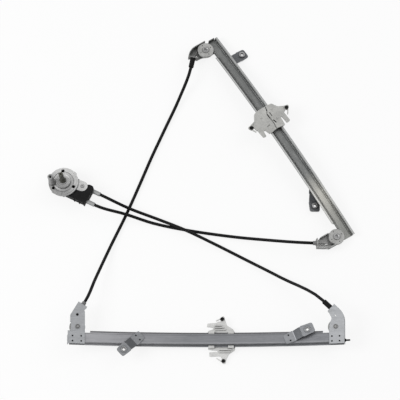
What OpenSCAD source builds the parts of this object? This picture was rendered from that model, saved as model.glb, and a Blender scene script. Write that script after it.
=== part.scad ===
// Window regulator with two bowed rails, a cable loop and a hand winder, laid flat.
// Millimetres, +Z up, origin under the middle of the whole object on the surface that it lies on.
// Rail frames: X runs up the rail, Y points to its pulleys, Z points from its web to its carrier.

/* [Rails] */
// Width of a rail over both lips
rail_w = 28; // [26:0.5:32]
// Width of the channel's web, outside
web_w = 21; // [20.5:0.5:23]
// Depth of the channel
rail_depth = 8; // [7:0.5:10]
// Sheet thickness of the rails
rail_t = 1.2; // [0.8:0.1:1.6]
// Radius of the bow, at the back of the web
bow_r = 1800; // [1500:50:2400]
// Distance between the pulleys of rail A
rail_a_span = 489; // [440:1:520]
// Distance between the pulleys of rail B
rail_b_span = 452; // [420:1:490]
// Length of rail A past each pulley
rail_a_over = 15; // [14:0.5:15]
// Length of rail B past each pulley
rail_b_over = 12; // [11:0.5:14]
// Lip cut away on the pulley side, from the pulley's centre
lip_cut = 25; // [22:1:30]

/* [Wire and pulleys] */
// Diameter of the braided wire
wire_d = 1.5; // [1.2:0.1:1.8]
// Distance of the wire from the rail's middle
wire_y = 6.4; // [6:0.1:6.8]
// Height of the wire over the back of the web
wire_z = 4.6; // [4.4:0.1:5]
// Radius at which the wire runs round a pulley
pulley_pitch_r = 13.4; // [12:0.2:15]
// Outer radius of a pulley
pulley_r = 15; // [14.4:0.2:15.2]
// Thickness of a pulley
pulley_t = 5.6; // [5:0.2:6]
// Shank radius of a pulley rivet
rivet_r = 3.5; // [3:0.1:4]
// Head radius of a pulley rivet
rivet_head_r = 5.6; // [5:0.2:6.4]

/* [Pulley brackets] */
// Sheet thickness of the brackets
plate_t = 1.5; // [1.2:0.1:2]
// Outer radius of the top bracket's bend
horn_r = 30; // [28:0.5:33]
// Turn of the top bracket's horn
horn_turn = 45; // [42:1:48]
// Straight end of the horn on rail A
horn_end_a = 15; // [11:0.5:16]
// Straight end of the horn on rail B
horn_end_b = 5; // [3:0.5:8]
// Width of the horn and of the slanted arm
seat_w = 18; // [17:0.5:20]
// Height of the bracket's rims and of its sheath seat
rim_h = 9.5; // [9:0.5:11]
// Slant of the sheath's seat on the bottom brackets
slant = 31; // [28:1:34]
// Reach of the slanted arm on rail A
reach_a = 25; // [23:0.5:28]
// Reach of the slanted arm on rail B
reach_b = 21; // [19.5:0.5:24]
// Radius of the fixing hole in the bottom bracket
bracket_hole_r = 2.6; // [2:0.1:3]
// Radius of a pressed joint's pit
clinch_r = 1.6; // [1.2:0.1:2]

/* [Mount brackets] */
// Distance of rail A's top mount from its top pulley
mount_a_top_in = 87.5; // [80:0.5:95]
// Distance of rail A's bottom mount from its bottom pulley
mount_a_bottom_in = 114.5; // [105:0.5:120]
// Distance of rail B's top mount from its top pulley
mount_b_top_in = 43; // [40:0.5:46]
// Distance of rail B's bottom mount from its bottom pulley
mount_b_bottom_in = 102; // [95:0.5:110]
// Reach of the nut from the rail on rail A
mount_a_reach = 37; // [34:0.5:40]
// Reach of the nut from the rail on rail B
mount_b_reach = 31; // [28:0.5:34]
// Offset of a bent foot from the rail's back
mount_drop = 8; // [6:0.5:10]
// Length of the part that is pressed onto the rail
root_l = 20; // [18:0.5:22]
// Length of rail A's top foot
long_foot = 26; // [24:0.5:28]
// Length of the other feet
short_foot = 22; // [20:0.5:24]
// Width of the mount brackets
foot_w = 22; // [20:0.5:24]
// Thread radius of the mount nuts
nut_thread_r = 3; // [2.5:0.25:3]
// Outer radius of the mount nuts
nut_r = 5.5; // [5:0.25:6.5]
// Height of the mount nuts
nut_h = 5; // [4:0.5:7]

/* [Carriers] */
// Thickness of a carrier's plate
carrier_t = 3; // [2.5:0.25:4]
// Gap between carrier and rail
slide_gap = 0.5; // [0.4:0.05:0.6]
// Thickness of the carrier's guide hooks
hook_t = 1.8; // [1.5:0.1:2]
// Length of the long ribs under a carrier, less their distance from the rail's middle
rib_long = 40.5; // [38:0.5:41]
// Length of the short ribs under a carrier, less the same distance
rib_short = 44.5; // [42:0.5:45]
// Distance of the buffers from the rail's middle
buffer_y = 41; // [40:0.5:43]
// Radius of a buffer
buffer_r = 3.6; // [3:0.1:4]
// Place of carrier A up its rail, from the middle
carrier_a_at = 29.5; // [-40:0.5:60]
// Place of carrier B up its rail, from the middle
carrier_b_at = 39; // [-40:0.5:60]

/* [Winder] */
// Radius of the winder's flange
flange_r = 28.5; // [28:0.25:30]
// Thickness of the flange
flange_t = 2.5; // [2:0.25:3]
// Circle of the three mounting holes
flange_pcd = 44; // [42:0.5:45]
// Metal of the backing plate outside the circle of the holes
bolt_edge = 4.5; // [4:0.25:5]
// Radius of a mounting hole
flange_hole_r = 3.3; // [2.8:0.1:3.6]
// Outer radius of the brake cup
cup_r = 14.5; // [14:0.25:15.5]
// Height of the brake cup over the flange
cup_h = 8.5; // [8:0.5:11]
// Wall of the brake cup
cup_wall = 1.6; // [1.2:0.1:2]
// Radius of the shaft and of its grooved end
shaft_r = 4.3; // [4:0.1:4.8]
// Number of grooves in the shaft's end
groove_count = 18; // [14:1:20]
// Height of the shaft's tip over the flange's underside
shaft_h = 46; // [42:0.5:50]
// Radius of the post
post_r = 5.6; // [5:0.2:6.2]
// Height of the post over the flange
post_h = 34; // [30:0.5:38]
// Depth of the drum housing under the backing plate
housing_h = 18; // [17:0.5:21]
// Outer radius of the drum's chamber
chamber_r = 20.4; // [20:0.1:20.8]
// Inner radius of the drum's chamber
chamber_inner_r = 17.3; // [17.1:0.1:17.5]
// Length of the housing's arm, from the shaft
arm_end = 55; // [52:0.5:58]
// Width of the housing's arm
arm_w = 39; // [37:0.5:41]
// Stations of the pockets in the arm, from the shaft
pocket_at = [29.5, 36.5];
// Distance between the two sheaths at the winder
exit_gap = 23; // [22:0.5:25]
// Radius at which the wire winds on the drum
drum_pitch_r = 15; // [14:0.25:15.25]
// Turns of groove on the drum
drum_turns = 5; // [4:1:5]
// Radius of a ferrule
ferrule_r = 4.1; // [3.8:0.1:4.5]
// Length of a ferrule outside the housing
ferrule_l = 17.5; // [15:0.5:20]

/* [Sheaths] */
// Diameter of a sheath
sheath_d = 5; // [4.6:0.1:5.4]
// Radius of a boot
boot_r = 4.8; // [4.4:0.1:5.2]
// Length of a boot
boot_l = 20; // [17:0.5:22]
// Radius of a plug
plug_r = 4.8; // [4.4:0.1:5.2]
// Length of a plug
plug_l = 7; // [6:0.5:9]

/* [Lay] */
// Middle of rail A, at the back of its web
rail_a_pos = [10.3, -283.6, 16.3];
// Roll of rail A as it lies
rail_a_roll = 4; // [0:0.5:8]
// Middle of rail B, at the back of its web
rail_b_pos = [150.1, 123.1, 19.15];
// Heading of rail B, down from the X axis
rail_b_heading = 56.75; // [50:0.25:60]
// Roll of rail B as it lies
rail_b_roll = 8; // [0:0.5:12]
// Foot of the winder's axis, at the underside of its flange
winder_pos = [-261.3, 28.2, 25.4];
// Lean of the winder as it lies
winder_lean = 6; // [0:0.5:8]
// Heading of the sheaths out of the winder, down from the X axis
winder_heading = 28; // [20:1:36]

/* [Hidden] */
$fn = 48;
// Running clearance of shafts and pins, and gap between neighbours of one body
run_gap = 0.05;
seat_gap = 0.03;
lay_gap = 0.1;
part_gap = 0.3;
// Places worked out from the sizes above
web_half = web_w / 2;
lip_half = rail_w / 2;
wire_r = wire_d / 2;
sheath_r = sheath_d / 2;
hub_r = shaft_r + 2;
pulley_y = wire_y + pulley_pitch_r;
pulley_z0 = wire_z - pulley_t / 2;
groove_r = pulley_pitch_r - wire_r - 0.1;
carrier_z = rail_depth + slide_gap;
carrier_top = carrier_z + carrier_t;
exit_y = exit_gap / 2;
backing_t = 1.6;
housing_top = -backing_t;
housing_bottom = housing_top - housing_h;
exit_z = housing_top - housing_h / 2;
cover_t = 2;
seat_t = 2;
socket_d = 10;
plug_socket_d = 5;
arm_y0 = web_half + 0.3;
tray_x = pulley_r + 2;
end_x = rail_a_over + 3.6;
horn_y = pulley_y + 12;
foot_half = web_half + 3;
foot_in = 12.2;
tuck = 0.15;
stub_r = 1.6;
stub_l = 15;
ear_top = carrier_top - 0.8;
lug_at = [36, 9];
lug_r = 10;
post_at = 21;
arm_y = arm_w / 2;
steel = [0.72, 0.73, 0.74];
dark_steel = [0.40, 0.41, 0.42];
zinc = [0.78, 0.78, 0.77];
nylon = [0.80, 0.80, 0.79];
black = [0.07, 0.07, 0.07];

// Route of each sheath from end to end, chosen by hand
route_a = [[-137, -20, 13], [-81, -40, 6], [-31, -62, 9], [25, -89, 5], [86, -121, 3], [150, -158, 10]];
route_b = [[-142, -32, 12], [-91, -47, 4], [-31, -60, 3], [38, -71, 3], [97, -79, 6]];
route_c = [
    [-200, -164, 20], [-172, -95, 6], [-142, -29, 3], [-116, 33, 3], [-94, 87, 3],
    [-68, 146, 3], [-43, 201, 8]
];

// Outline helpers

// Unit vector from one point to another
function toward(a, b) = (b - a) / norm(b - a);

// Corners of an outline cut back by r and rounded with a short curve
function round_corners(pts, r, steps = 3) = [
    for (i = [0 : len(pts) - 1])
        let (
            p = pts[i],
            before = pts[(i + len(pts) - 1) % len(pts)],
            after = pts[(i + 1) % len(pts)],
            a = p + min(r, 0.4 * norm(before - p)) * toward(p, before),
            b = p + min(r, 0.4 * norm(after - p)) * toward(p, after)
        )
        for (k = [0 : steps])
            let (t = k / steps)
            (1 - t) * (1 - t) * a + 2 * t * (1 - t) * p + t * t * b
];

module plate(pts, r, z0, z1) {
    translate([0, 0, z0])
        linear_extrude(z1 - z0)
            polygon(round_corners(pts, r));
}

// Bar of width w from point a to point b, with round ends
module bar(a, b, w, z0, z1) {
    run = b - a;
    lead = atan2(run[1], run[0]);
    translate([0, 0, z0])
        linear_extrude(z1 - z0)
            polygon(concat(
                [for (k = [-90 : 22.5 : 90]) b + w / 2 * [cos(lead + k), sin(lead + k)]],
                [for (k = [90 : 22.5 : 270]) a + w / 2 * [cos(lead + k), sin(lead + k)]]
            ));
}

// Square direction of an open line of points at point i
function line_side(pts, i) =
    let (
        run = toward(pts[max(i - 1, 0)], pts[min(i + 1, len(pts) - 1)])
    )
    [-run[1], run[0]];

// Strip of width w along an open line of points
module strip(pts, w, z0, z1) {
    last = len(pts) - 1;
    translate([0, 0, z0])
        linear_extrude(z1 - z0)
            polygon(concat(
                [for (i = [0 : last]) pts[i] + w / 2 * line_side(pts, i)],
                [for (i = [last : -1 : 0]) pts[i] - w / 2 * line_side(pts, i)]
            ));
}

// Places

module at_rail_a() {
    translate(rail_a_pos)
        rotate([rail_a_roll, 0, 0])
            mirror([0, 0, 1])
                children();
}

module at_rail_b() {
    translate(rail_b_pos)
        rotate([0, 0, 180 - rail_b_heading])
            rotate([rail_b_roll, 0, 0])
                children();
}

module at_winder() {
    translate(winder_pos)
        rotate([0, -winder_lean, 0])
            rotate([0, 0, -winder_heading])
                children();
}

function bow_angle(s) = s / bow_r * 180 / PI;

// A place on the bowed rail, s up from its middle
module on_bow(s) {
    translate([0, 0, -bow_r])
        rotate([0, bow_angle(s), 0])
            translate([0, 0, bow_r])
                children();
}

// A profile of height and width swept along the bow from s0 to s1
module bow_sweep(s0, s1) {
    translate([0, 0, -bow_r])
        rotate([0, -90, -90])
            rotate_extrude(angle = bow_angle(s1 - s0), start = bow_angle(s0), $fn = 720)
                translate([bow_r, 0])
                    children();
}

// Rails

// Half of the hat profile, from the middle of the web outwards and back
function hat_half(bend = 1) = [
    [0, 0],
    [0, web_half - bend],
    [bend, web_half],
    [rail_depth - rail_t - bend / 2, web_half],
    [rail_depth - rail_t, web_half + bend / 2],
    [rail_depth - rail_t, lip_half],
    [rail_depth, lip_half],
    [rail_depth, web_half - rail_t + bend],
    [rail_depth - bend, web_half - rail_t],
    [rail_t + bend / 2, web_half - rail_t],
    [rail_t, web_half - rail_t - bend / 2],
    [rail_t, 0]
];

module hat_profile() {
    half = hat_half();
    last = len(half) - 2;
    polygon(concat(
        [for (i = [1 : last]) half[i]],
        [for (i = [last : -1 : 1]) [half[i][0], -half[i][1]]]
    ));
}

module rail(span, over) {
    end = span / 2 + over;
    difference() {
        bow_sweep(-end, end)
            hat_profile();
        for (side = [-1, 1])
            bow_sweep(
                side < 0 ? -end - 5 : span / 2 - lip_cut,
                side < 0 ? lip_cut - span / 2 : end + 5
            )
                translate([-5, web_half - rail_t - 0.8])
                    square([rail_depth + 10, lip_half]);
    }
}

module rail_a() {
    color(steel)
        at_rail_a()
            rail(rail_a_span, rail_a_over);
}

module rail_b() {
    color(steel)
        at_rail_b()
            rail(rail_b_span, rail_b_over);
}

// Places at the ends of a rail: X points out of the rail's end
module at_top(span) {
    on_bow(span / 2)
        children();
}

module at_bottom(span) {
    on_bow(-span / 2)
        mirror([1, 0, 0])
            children();
}

module clinches(places) {
    for (p = places)
        translate([p[0], p[1], -plate_t - 1])
            cylinder(h = plate_t * 0.7 + 1, r = clinch_r);
}

// Strip of bracket that is pressed onto the web, from in_l inside the pulley to out_l past it
module bracket_foot(span, side, in_l, out_l) {
    s0 = side * (span / 2 - in_l);
    s1 = side * (span / 2 + out_l);
    bow_sweep(min(s0, s1), max(s0, s1))
        translate([tuck - plate_t, -foot_half])
            square([plate_t - seat_gap - tuck, foot_half + arm_y0 + 0.6]);
}

// Outer edge of the top bracket, from its foot round the bend to the end of its horn
horn_centre = [tray_x - horn_r, horn_y];
horn_out = [cos(horn_turn), sin(horn_turn)];
horn_on = [-sin(horn_turn), cos(horn_turn)];
function horn_edge(y0, end) = concat(
    [[tray_x, y0]],
    [for (k = [0 : 6]) horn_centre + horn_r * [cos(k * horn_turn / 6), sin(k * horn_turn / 6)]],
    [horn_centre + horn_r * horn_out + end * horn_on]
);
function horn_seat(end) = horn_centre + (horn_r - seat_w / 2) * horn_out + end * horn_on;

// Top bracket: a tray whose outer rim curves round to the sheath's seat
module top_bracket_arm(end, y0) {
    inner = horn_centre + (horn_r - seat_w) * horn_out + end * horn_on;
    tail = inner + 0.5 * (horn_out - horn_on);
    neck = [-7.5, horn_y + 5];
    difference() {
        union() {
            translate([0, 0, -plate_t])
                linear_extrude(plate_t)
                    polygon(concat(
                        horn_edge(arm_y0, end - 0.5),
                        [tail, 0.6 * neck + 0.4 * tail, neck, [-8.5, horn_y], [-11, 27], [-foot_in, 18]],
                        [[-foot_in, arm_y0]]
                    ));
            strip([for (p = horn_edge(y0, end)) p - [plate_t / 2, 0]], plate_t, -plate_t, rim_h);
            translate([inner[0], inner[1], -plate_t])
                rotate([0, 0, horn_turn])
                    translate([0, -seat_t, 0])
                        cube([seat_w, seat_t, rim_h + plate_t]);
        }
        at_seat(horn_seat(end), horn_turn)
            translate([0, 0, -seat_t - 1])
                cylinder(h = seat_t + 2, r = 1.6);
        translate([0, pulley_y, -plate_t - 1])
            cylinder(h = plate_t + 2, r = rivet_r + run_gap);
        translate([0, horn_y + 9.5, -plate_t - 1])
            rotate([0, 0, -50])
                translate([-2.6, -0.6, 0])
                    cube([5.2, 1.2, plate_t + 2]);
    }
}

module top_bracket(span, end, over, y0) {
    difference() {
        union() {
            bracket_foot(span, 1, foot_in, over);
            on_bow(span / 2)
                top_bracket_arm(end, y0);
        }
        on_bow(span / 2)
            clinches([[7.5, 1], [-7, 1], [7.5, -8.5], [-7, -8.5]]);
    }
}

// Bottom bracket: a tray with rims on both sides and a slanted end
arm_elbow = [2.5, 42];
function slant_point(x, y) = arm_elbow + [x * cos(slant) - y * sin(slant), x * sin(slant) + y * cos(slant)];

module at_slant(x, y, z) {
    at = slant_point(x, y);
    translate([at[0], at[1], z])
        rotate([0, 0, slant])
            children();
}

module bottom_bracket_arm(reach, hole) {
    outer = 13;
    inner = 14;
    side_x = seat_w / 2 + 1;
    rim_y = pulley_y + 11;
    difference() {
        union() {
            translate([0, 0, -plate_t])
                linear_extrude(plate_t)
                    polygon([
                        [-inner, arm_y0], [outer, arm_y0], [outer, arm_elbow[1] + 2], slant_point(side_x - 0.5, 3.5),
                        slant_point(side_x - 0.5, reach - 0.5), slant_point(0.5 - seat_w / 2, reach - 0.5),
                        slant_point(0.5 - seat_w / 2, 15.5), [-inner, arm_elbow[1] + 7]
                    ]);
            for (x = [-inner, outer - plate_t])
                translate([x, rim_y, -plate_t])
                    cube([plate_t, arm_elbow[1] - rim_y + (x < 0 ? 6.5 : 2), rim_h + plate_t]);
            for (x = [-inner, outer - plate_t])
                translate([x, arm_y0, -plate_t])
                    cube([plate_t, rim_y - arm_y0, plate_t + 0.8]);
            translate([0, 0, -plate_t])
                linear_extrude(rim_h + plate_t)
                    polygon([
                        slant_point(side_x, 3), slant_point(side_x, reach), slant_point(-seat_w / 2, reach),
                        slant_point(-seat_w / 2, reach - seat_t), slant_point(side_x - plate_t, reach - seat_t),
                        slant_point(side_x - plate_t, 3)
                    ]);
        }
        at_slant(0, reach + 1, wire_z)
            rotate([90, 0, 0])
                cylinder(h = seat_t + 2, r = 1.6);
        translate([0, pulley_y, -plate_t - 1])
            cylinder(h = plate_t + 2, r = rivet_r + run_gap);
        if (hole)
            translate([0.5, arm_elbow[1] + 1, -plate_t - 1])
                cylinder(h = plate_t + 2, r = bracket_hole_r);
        else
            translate([1, arm_elbow[1] - 2, -plate_t - 1])
                cube([1.4, 5, plate_t + 2]);
    }
}

module bottom_bracket(span, reach, over, hole) {
    difference() {
        union() {
            bracket_foot(span, -1, foot_in + 1.8, over);
            at_bottom(span)
                bottom_bracket_arm(reach, hole);
        }
        at_bottom(span)
            clinches([[9.5, 1.5], [-7, 1.5], [9.5, -8.5], [-7, -8.5]]);
    }
}

module bracket_a_top() {
    color(steel)
        at_rail_a()
            difference() {
                top_bracket(rail_a_span, horn_end_a, tray_x - 0.2, 0.5 - foot_half);
                at_top(rail_a_span)
                    at_stub()
                        cylinder(h = 10, r = stub_r + run_gap);
            }
}

module bracket_a_bottom() {
    color(steel)
        at_rail_a()
            union() {
                bottom_bracket(rail_a_span, reach_a, end_x, true);
                at_bottom(rail_a_span)
                    translate([end_x - plate_t, 0.5 - foot_half, -plate_t])
                        cube([plate_t, foot_half + 3.5, rim_h + plate_t]);
            }
}

module bracket_b_top() {
    color(steel)
        at_rail_b()
            union() {
                top_bracket(rail_b_span, horn_end_b, rail_b_over + part_gap + plate_t, arm_y0);
                at_top(rail_b_span)
                    translate([rail_b_over + part_gap, -8, -plate_t])
                        cube([plate_t, 12, rail_depth + plate_t]);
            }
}

module bracket_b_bottom() {
    color(steel)
        at_rail_b()
            bottom_bracket(rail_b_span, reach_b, rail_b_over - 1, false);
}

// Pulleys

module pulley() {
    lip = (pulley_t - wire_d) / 2;
    translate([0, pulley_y, pulley_z0])
        difference() {
            rotate_extrude($fn = 96)
                polygon([
                    [rivet_r + run_gap, 0],
                    [pulley_r, 0],
                    [pulley_r, lip * 0.45],
                    [groove_r, lip + wire_d * 0.1],
                    [groove_r, pulley_t - lip - wire_d * 0.1],
                    [pulley_r, pulley_t - lip * 0.45],
                    [pulley_r, pulley_t],
                    [pulley_r - 1.6, pulley_t],
                    [pulley_r - 2, pulley_t - 0.5],
                    [rivet_head_r + 1, pulley_t - 0.5],
                    [rivet_head_r + 1, pulley_t],
                    [rivet_r + run_gap, pulley_t]
                ]);
            for (a = [0 : 90 : 270])
                rotate([0, 0, a])
                    translate([(rivet_head_r + pulley_r) / 2 + 0.6, 0, pulley_t - 1.2])
                        cylinder(h = 2, r = 0.7);
        }
}

module pulley_rivet() {
    front = pulley_z0 + pulley_t;
    translate([0, pulley_y, 0]) {
        difference() {
            union() {
                translate([0, 0, -plate_t - 1.2])
                    cylinder(h = 1.2 - seat_gap, r = rivet_r + 1);
                translate([0, 0, -plate_t - 1.2])
                    cylinder(h = front + plate_t + 2.4, r = rivet_r);
                translate([0, 0, front + 0.1])
                    cylinder(h = 1.5, r = rivet_head_r);
                translate([0, 0, 0.05])
                    cylinder(h = pulley_z0 - 0.15, r = rivet_r + 1.4);
            }
            translate([0, 0, front - 0.6])
                cylinder(h = 4, r = rivet_r - 1);
            translate([0, 0, front + 0.9])
                cylinder(h = 4, r1 = rivet_r - 0.4, r2 = rivet_head_r + 1.6);
        }
    }
}

module pulley_a_top() {
    color(nylon)
        at_rail_a()
            at_top(rail_a_span)
                pulley();
}

module pulley_a_bottom() {
    color(nylon)
        at_rail_a()
            at_bottom(rail_a_span)
                pulley();
}

module pulley_b_top() {
    color(nylon)
        at_rail_b()
            at_top(rail_b_span)
                pulley();
}

module pulley_b_bottom() {
    color(nylon)
        at_rail_b()
            at_bottom(rail_b_span)
                pulley();
}

module pulley_rivets() {
    color(steel) {
        at_rail_a() {
            at_top(rail_a_span)
                pulley_rivet();
            at_bottom(rail_a_span)
                pulley_rivet();
        }
        at_rail_b() {
            at_top(rail_b_span)
                pulley_rivet();
            at_bottom(rail_b_span)
                pulley_rivet();
        }
    }
}

// Mount brackets: a root pressed onto the back of the web, a bend and an offset foot with a nut.
// Each is drawn along its own X from the root's middle, and turned on the rail.

// Place on the rail, turn, root length, reach of the foot's nut, offset of the foot, foot length
mount_a_top = [rail_a_span / 2 - mount_a_top_in, 0, 22, root_l, mount_a_reach, mount_drop, long_foot];
mount_a_bottom = [mount_a_bottom_in - rail_a_span / 2, 1, 223, root_l, mount_a_reach, mount_drop, short_foot];
mount_b_top = [rail_b_span / 2 - mount_b_top_in, -4, 270, root_l - 6, mount_b_reach, 0.4, short_foot - 3];
mount_b_bottom = [mount_b_bottom_in - rail_b_span / 2, 3, 150, root_l, mount_b_reach, mount_drop, short_foot];

module at_mount(m) {
    on_bow(m[0])
        translate([0, m[1], 0])
            rotate([0, 0, m[2]])
                children();
}

module mount_bracket(m) {
    root = m[3];
    reach = m[4];
    drop = m[5];
    foot = m[6];
    half = foot_w / 2;
    bend_x = root / 2;
    foot_x = reach - foot / 2;
    slope = atan2(drop, foot_x - bend_x);
    difference() {
        union() {
            plate([[-root / 2, -half + 2], [bend_x, -half], [bend_x, half], [-root / 2, half - 2]], 3,
                -plate_t - lay_gap, -lay_gap);
            translate([bend_x - 0.4, -half + 1, -lay_gap])
                rotate([0, slope, 0])
                    translate([0, 0, -plate_t])
                        cube([norm([foot_x - bend_x, drop]) + 0.8, foot_w - 2, plate_t]);
            plate([[foot_x, -half], [reach + foot / 2, -half + 1.5], [reach + foot / 2, half - 1.5],
                    [foot_x, half]], 4, -plate_t - lay_gap - drop, -lay_gap - drop);
        }
        translate([reach, 0, -drop - plate_t - 1])
            cylinder(h = plate_t + 2, r = nut_thread_r + 1.2 + run_gap);
        for (y = [-half / 2, half / 2])
            translate([0, y, -plate_t - 1])
                cylinder(h = plate_t * 0.6 + 1, r = clinch_r);
    }
}

// Nut pressed through the foot, with its collar on the side of the rail
module mount_nut(m) {
    translate([m[4], 0, -m[5] - plate_t - lay_gap])
        difference() {
            union() {
                translate([0, 0, plate_t + seat_gap])
                    cylinder(h = nut_h - plate_t, r = nut_r);
                cylinder(h = nut_h, r = nut_thread_r + 1.2);
            }
            translate([0, 0, -1])
                cylinder(h = nut_h + 2, r = nut_thread_r);
        }
}

module mount_a_top() {
    color(steel)
        at_rail_a()
            at_mount(mount_a_top)
                mount_bracket(mount_a_top);
}

module mount_a_bottom() {
    color(steel)
        at_rail_a()
            at_mount(mount_a_bottom)
                mount_bracket(mount_a_bottom);
}

module mount_b_top() {
    color(dark_steel)
        at_rail_b()
            at_mount(mount_b_top)
                mount_bracket(mount_b_top);
}

module mount_b_bottom() {
    color(dark_steel)
        at_rail_b()
            at_mount(mount_b_bottom)
                mount_bracket(mount_b_bottom);
}

module mount_nuts() {
    color(steel) {
        at_rail_a()
            for (m = [mount_a_top, mount_a_bottom])
                at_mount(m)
                    mount_nut(m);
        at_rail_b()
            for (m = [mount_b_top, mount_b_bottom])
                at_mount(m)
                    mount_nut(m);
    }
}

// Carriers

carrier_outline = [
    [24, -20], [25, -9], [24, 14], [21, 21], [7, 30], [1, 37], [-8, 36], [-11, 34], [-28, 32.5],
    [-29, 26], [-18, 25], [-17, 21.5], [-26, 18], [-28, 14], [-26, 4], [-25, -3], [-27, -18.5],
    [-9, -20], [-9, -22.5], [-25, -24], [-24, -32], [-4, -31], [3, -35], [9, -35], [13, -27]
];
// An ear, drawn round its buffer
ear_outline = [[9, -12], [5.5, -1], [4.2, 5], [1.5, 5.8], [-2.2, 3.8], [-3.4, 0], [-3, -5], [-6, -10]];
// The channel between the carrier's two halves
channel = [[26, -6.5], [15.5, -4.5], [9, -0.5], [-1, -1], [-13, -1.7], [-27, 0.5]];

module carrier() {
    hook_y = lip_half + slide_gap;
    hook_z = rail_depth - rail_t - slide_gap - hook_t;
    lug_half = 2.4;
    difference() {
        union() {
            plate(carrier_outline, 1.5, carrier_z, carrier_top);
            for (side = [-1, 1])
                translate([1 - side, 0, 0])
                    plate([for (p = ear_outline) [p[0], side * (p[1] + buffer_y)]], 1.2, carrier_z, ear_top);
            bar([-3, buffer_y + 1], [-11, buffer_y - 3], 2, carrier_z, ear_top);
            bar([-1, -buffer_y - 1], [-10, -buffer_y + 5], 2, carrier_z, ear_top);
            for (side = [-1, 1])
                for (x = [-22, 15])
                    translate([x - 4, 0, 0]) {
                        translate([0, side > 0 ? hook_y : -hook_y - hook_t, hook_z])
                            cube([11, hook_t, carrier_z - hook_z + 0.5]);
                        translate([0, side > 0 ? hook_y - 3 : -hook_y - hook_t, hook_z])
                            cube([11, 3 + hook_t, hook_t]);
                    }
            for (y = [hook_y + 5 : 4 : hook_y + 13])
                translate([-14, y, carrier_z - 3])
                    cube([rib_long - y, 1.4, 3.2]);
            for (y = [hook_y + 6 : 4 : hook_y + 10])
                translate([-6, -y, carrier_z - 3])
                    cube([rib_short - y, 1.4, 3.2]);
            translate([-12, wire_y - lug_half, rail_t + slide_gap])
                cube([24, 2 * lug_half, carrier_z - rail_t - slide_gap + 0.5]);
        }
        strip(channel, 1.8, carrier_top - 1.4, carrier_top + 1);
        bar([22, -6], [16.5, -4.8], 2.2, carrier_z - 1, carrier_top + 1);
        bar([8, -0.6], [0, -1], 2.4, carrier_z - 1, carrier_top + 1);
        bar([-7.5, -4.5], [-13.5, -6.5], 2.4, carrier_z - 1, carrier_top + 1);
        bar([9, -6.8], [2, -6.8], 2, carrier_top - 1.8, carrier_top + 1);
        bar([-12.4, 7], [-13.4, 13], 1.2, carrier_top - 1.8, carrier_top + 1);
        for (p = [[12, -13.3], [-8.8, -12], [6, 14]])
            translate([p[0], p[1], carrier_top - 0.5])
                cylinder(h = 2, r = 2);
        for (p = [[0, buffer_y], [2, -buffer_y]])
            translate([p[0], p[1], carrier_z - 1])
                cylinder(h = carrier_t + 2, r = buffer_r - 1);
        translate([-13, wire_y, wire_z])
            rotate([0, 90, 0])
                cylinder(h = 26, r = wire_r + 0.2);
        for (x = [-13, 7])
            translate([x, wire_y, wire_z])
                rotate([0, 90, 0])
                    cylinder(h = 6, r = 1.75);
    }
}

module carrier_buffers() {
    for (p = [[0, buffer_y], [2, -buffer_y]])
        translate([p[0], p[1], 0])
            union() {
                translate([0, 0, carrier_z - 1.6])
                    cylinder(h = 1.6, r = buffer_r);
                translate([0, 0, carrier_z - 1.6])
                    cylinder(h = ear_top - carrier_z + 3.2, r = buffer_r - 1);
                translate([0, 0, ear_top])
                    cylinder(h = 1.2, r = buffer_r);
                translate([0, 0, ear_top + 1.2])
                    cylinder(h = 0.8, r1 = buffer_r, r2 = buffer_r - 1);
            }
}

module carrier_nipples() {
    for (x = [-12, 7])
        translate([x, wire_y, wire_z])
            rotate([0, 90, 0])
                difference() {
                    cylinder(h = 5, r = 1.7);
                    translate([0, 0, -1])
                        cylinder(h = 7, r = wire_r + 0.15);
                }
}

module carrier_a() {
    color(nylon)
        at_rail_a()
            on_bow(carrier_a_at)
                carrier();
}

module carrier_b() {
    color(nylon)
        at_rail_b()
            on_bow(carrier_b_at)
                carrier();
}

module buffers_a() {
    color(black)
        at_rail_a()
            on_bow(carrier_a_at)
                carrier_buffers();
}

module buffers_b() {
    color(black)
        at_rail_b()
            on_bow(carrier_b_at)
                carrier_buffers();
}

module nipples_a() {
    color(zinc)
        at_rail_a()
            on_bow(carrier_a_at)
                carrier_nipples();
}

module nipples_b() {
    color(zinc)
        at_rail_b()
            on_bow(carrier_b_at)
                carrier_nipples();
}

// Wires: along the bow, round each pulley and straight to the sheath

// The seats of the four sheath ends
top_seat_a = horn_seat(horn_end_a);
top_seat_b = horn_seat(horn_end_b);
seat_a = slant_point(0, reach_a);
seat_b = slant_point(0, reach_b);

// Places of the wire round one pulley, from the rail to the seat
function wire_round(seat, steps = 8) =
    let (
        v = seat - [0, pulley_y],
        lead = atan2(v[1], v[0]) + asin(pulley_pitch_r / norm(v))
    )
    concat(
        [for (k = [0 : steps])
            let (a = k * lead / steps - 90)
            [pulley_pitch_r * cos(a), pulley_y + pulley_pitch_r * sin(a), wire_z]],
        [[seat[0], seat[1], wire_z]]
    );

// Places of a rail's whole wire in the rail's frame, from its bottom seat to its top one
function wire_path(span, bottom_seat, top_seat) =
    let (low = wire_round(bottom_seat), high = wire_round(top_seat), n = 14)
    concat(
        [for (i = [len(low) - 1 : -1 : 0])
            from_bow([-low[i][0], low[i][1], low[i][2]], -span / 2)],
        [for (i = [1 : n - 1]) from_bow([0, wire_y, wire_z], span * (i / n - 0.5))],
        [for (p = high) from_bow(p, span / 2)]
    );

module wire(path) {
    last = len(path) - 1;
    tube(path, unit(path[1] - path[0]), unit(path[last] - path[last - 1]), wire_r, 8);
}

module wire_a() {
    color(dark_steel)
        wire([for (p = wire_path(rail_a_span, seat_a, top_seat_a)) from_rail_a(p)]);
}

module wire_b() {
    color(dark_steel)
        wire([for (p = wire_path(rail_b_span, seat_b, top_seat_b)) from_rail_b(p)]);
}

// Boots and plugs on the seats

module at_seat(seat, turn) {
    translate([seat[0], seat[1], wire_z])
        rotate([0, 0, turn])
            rotate([-90, 0, 0])
                children();
}

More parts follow.
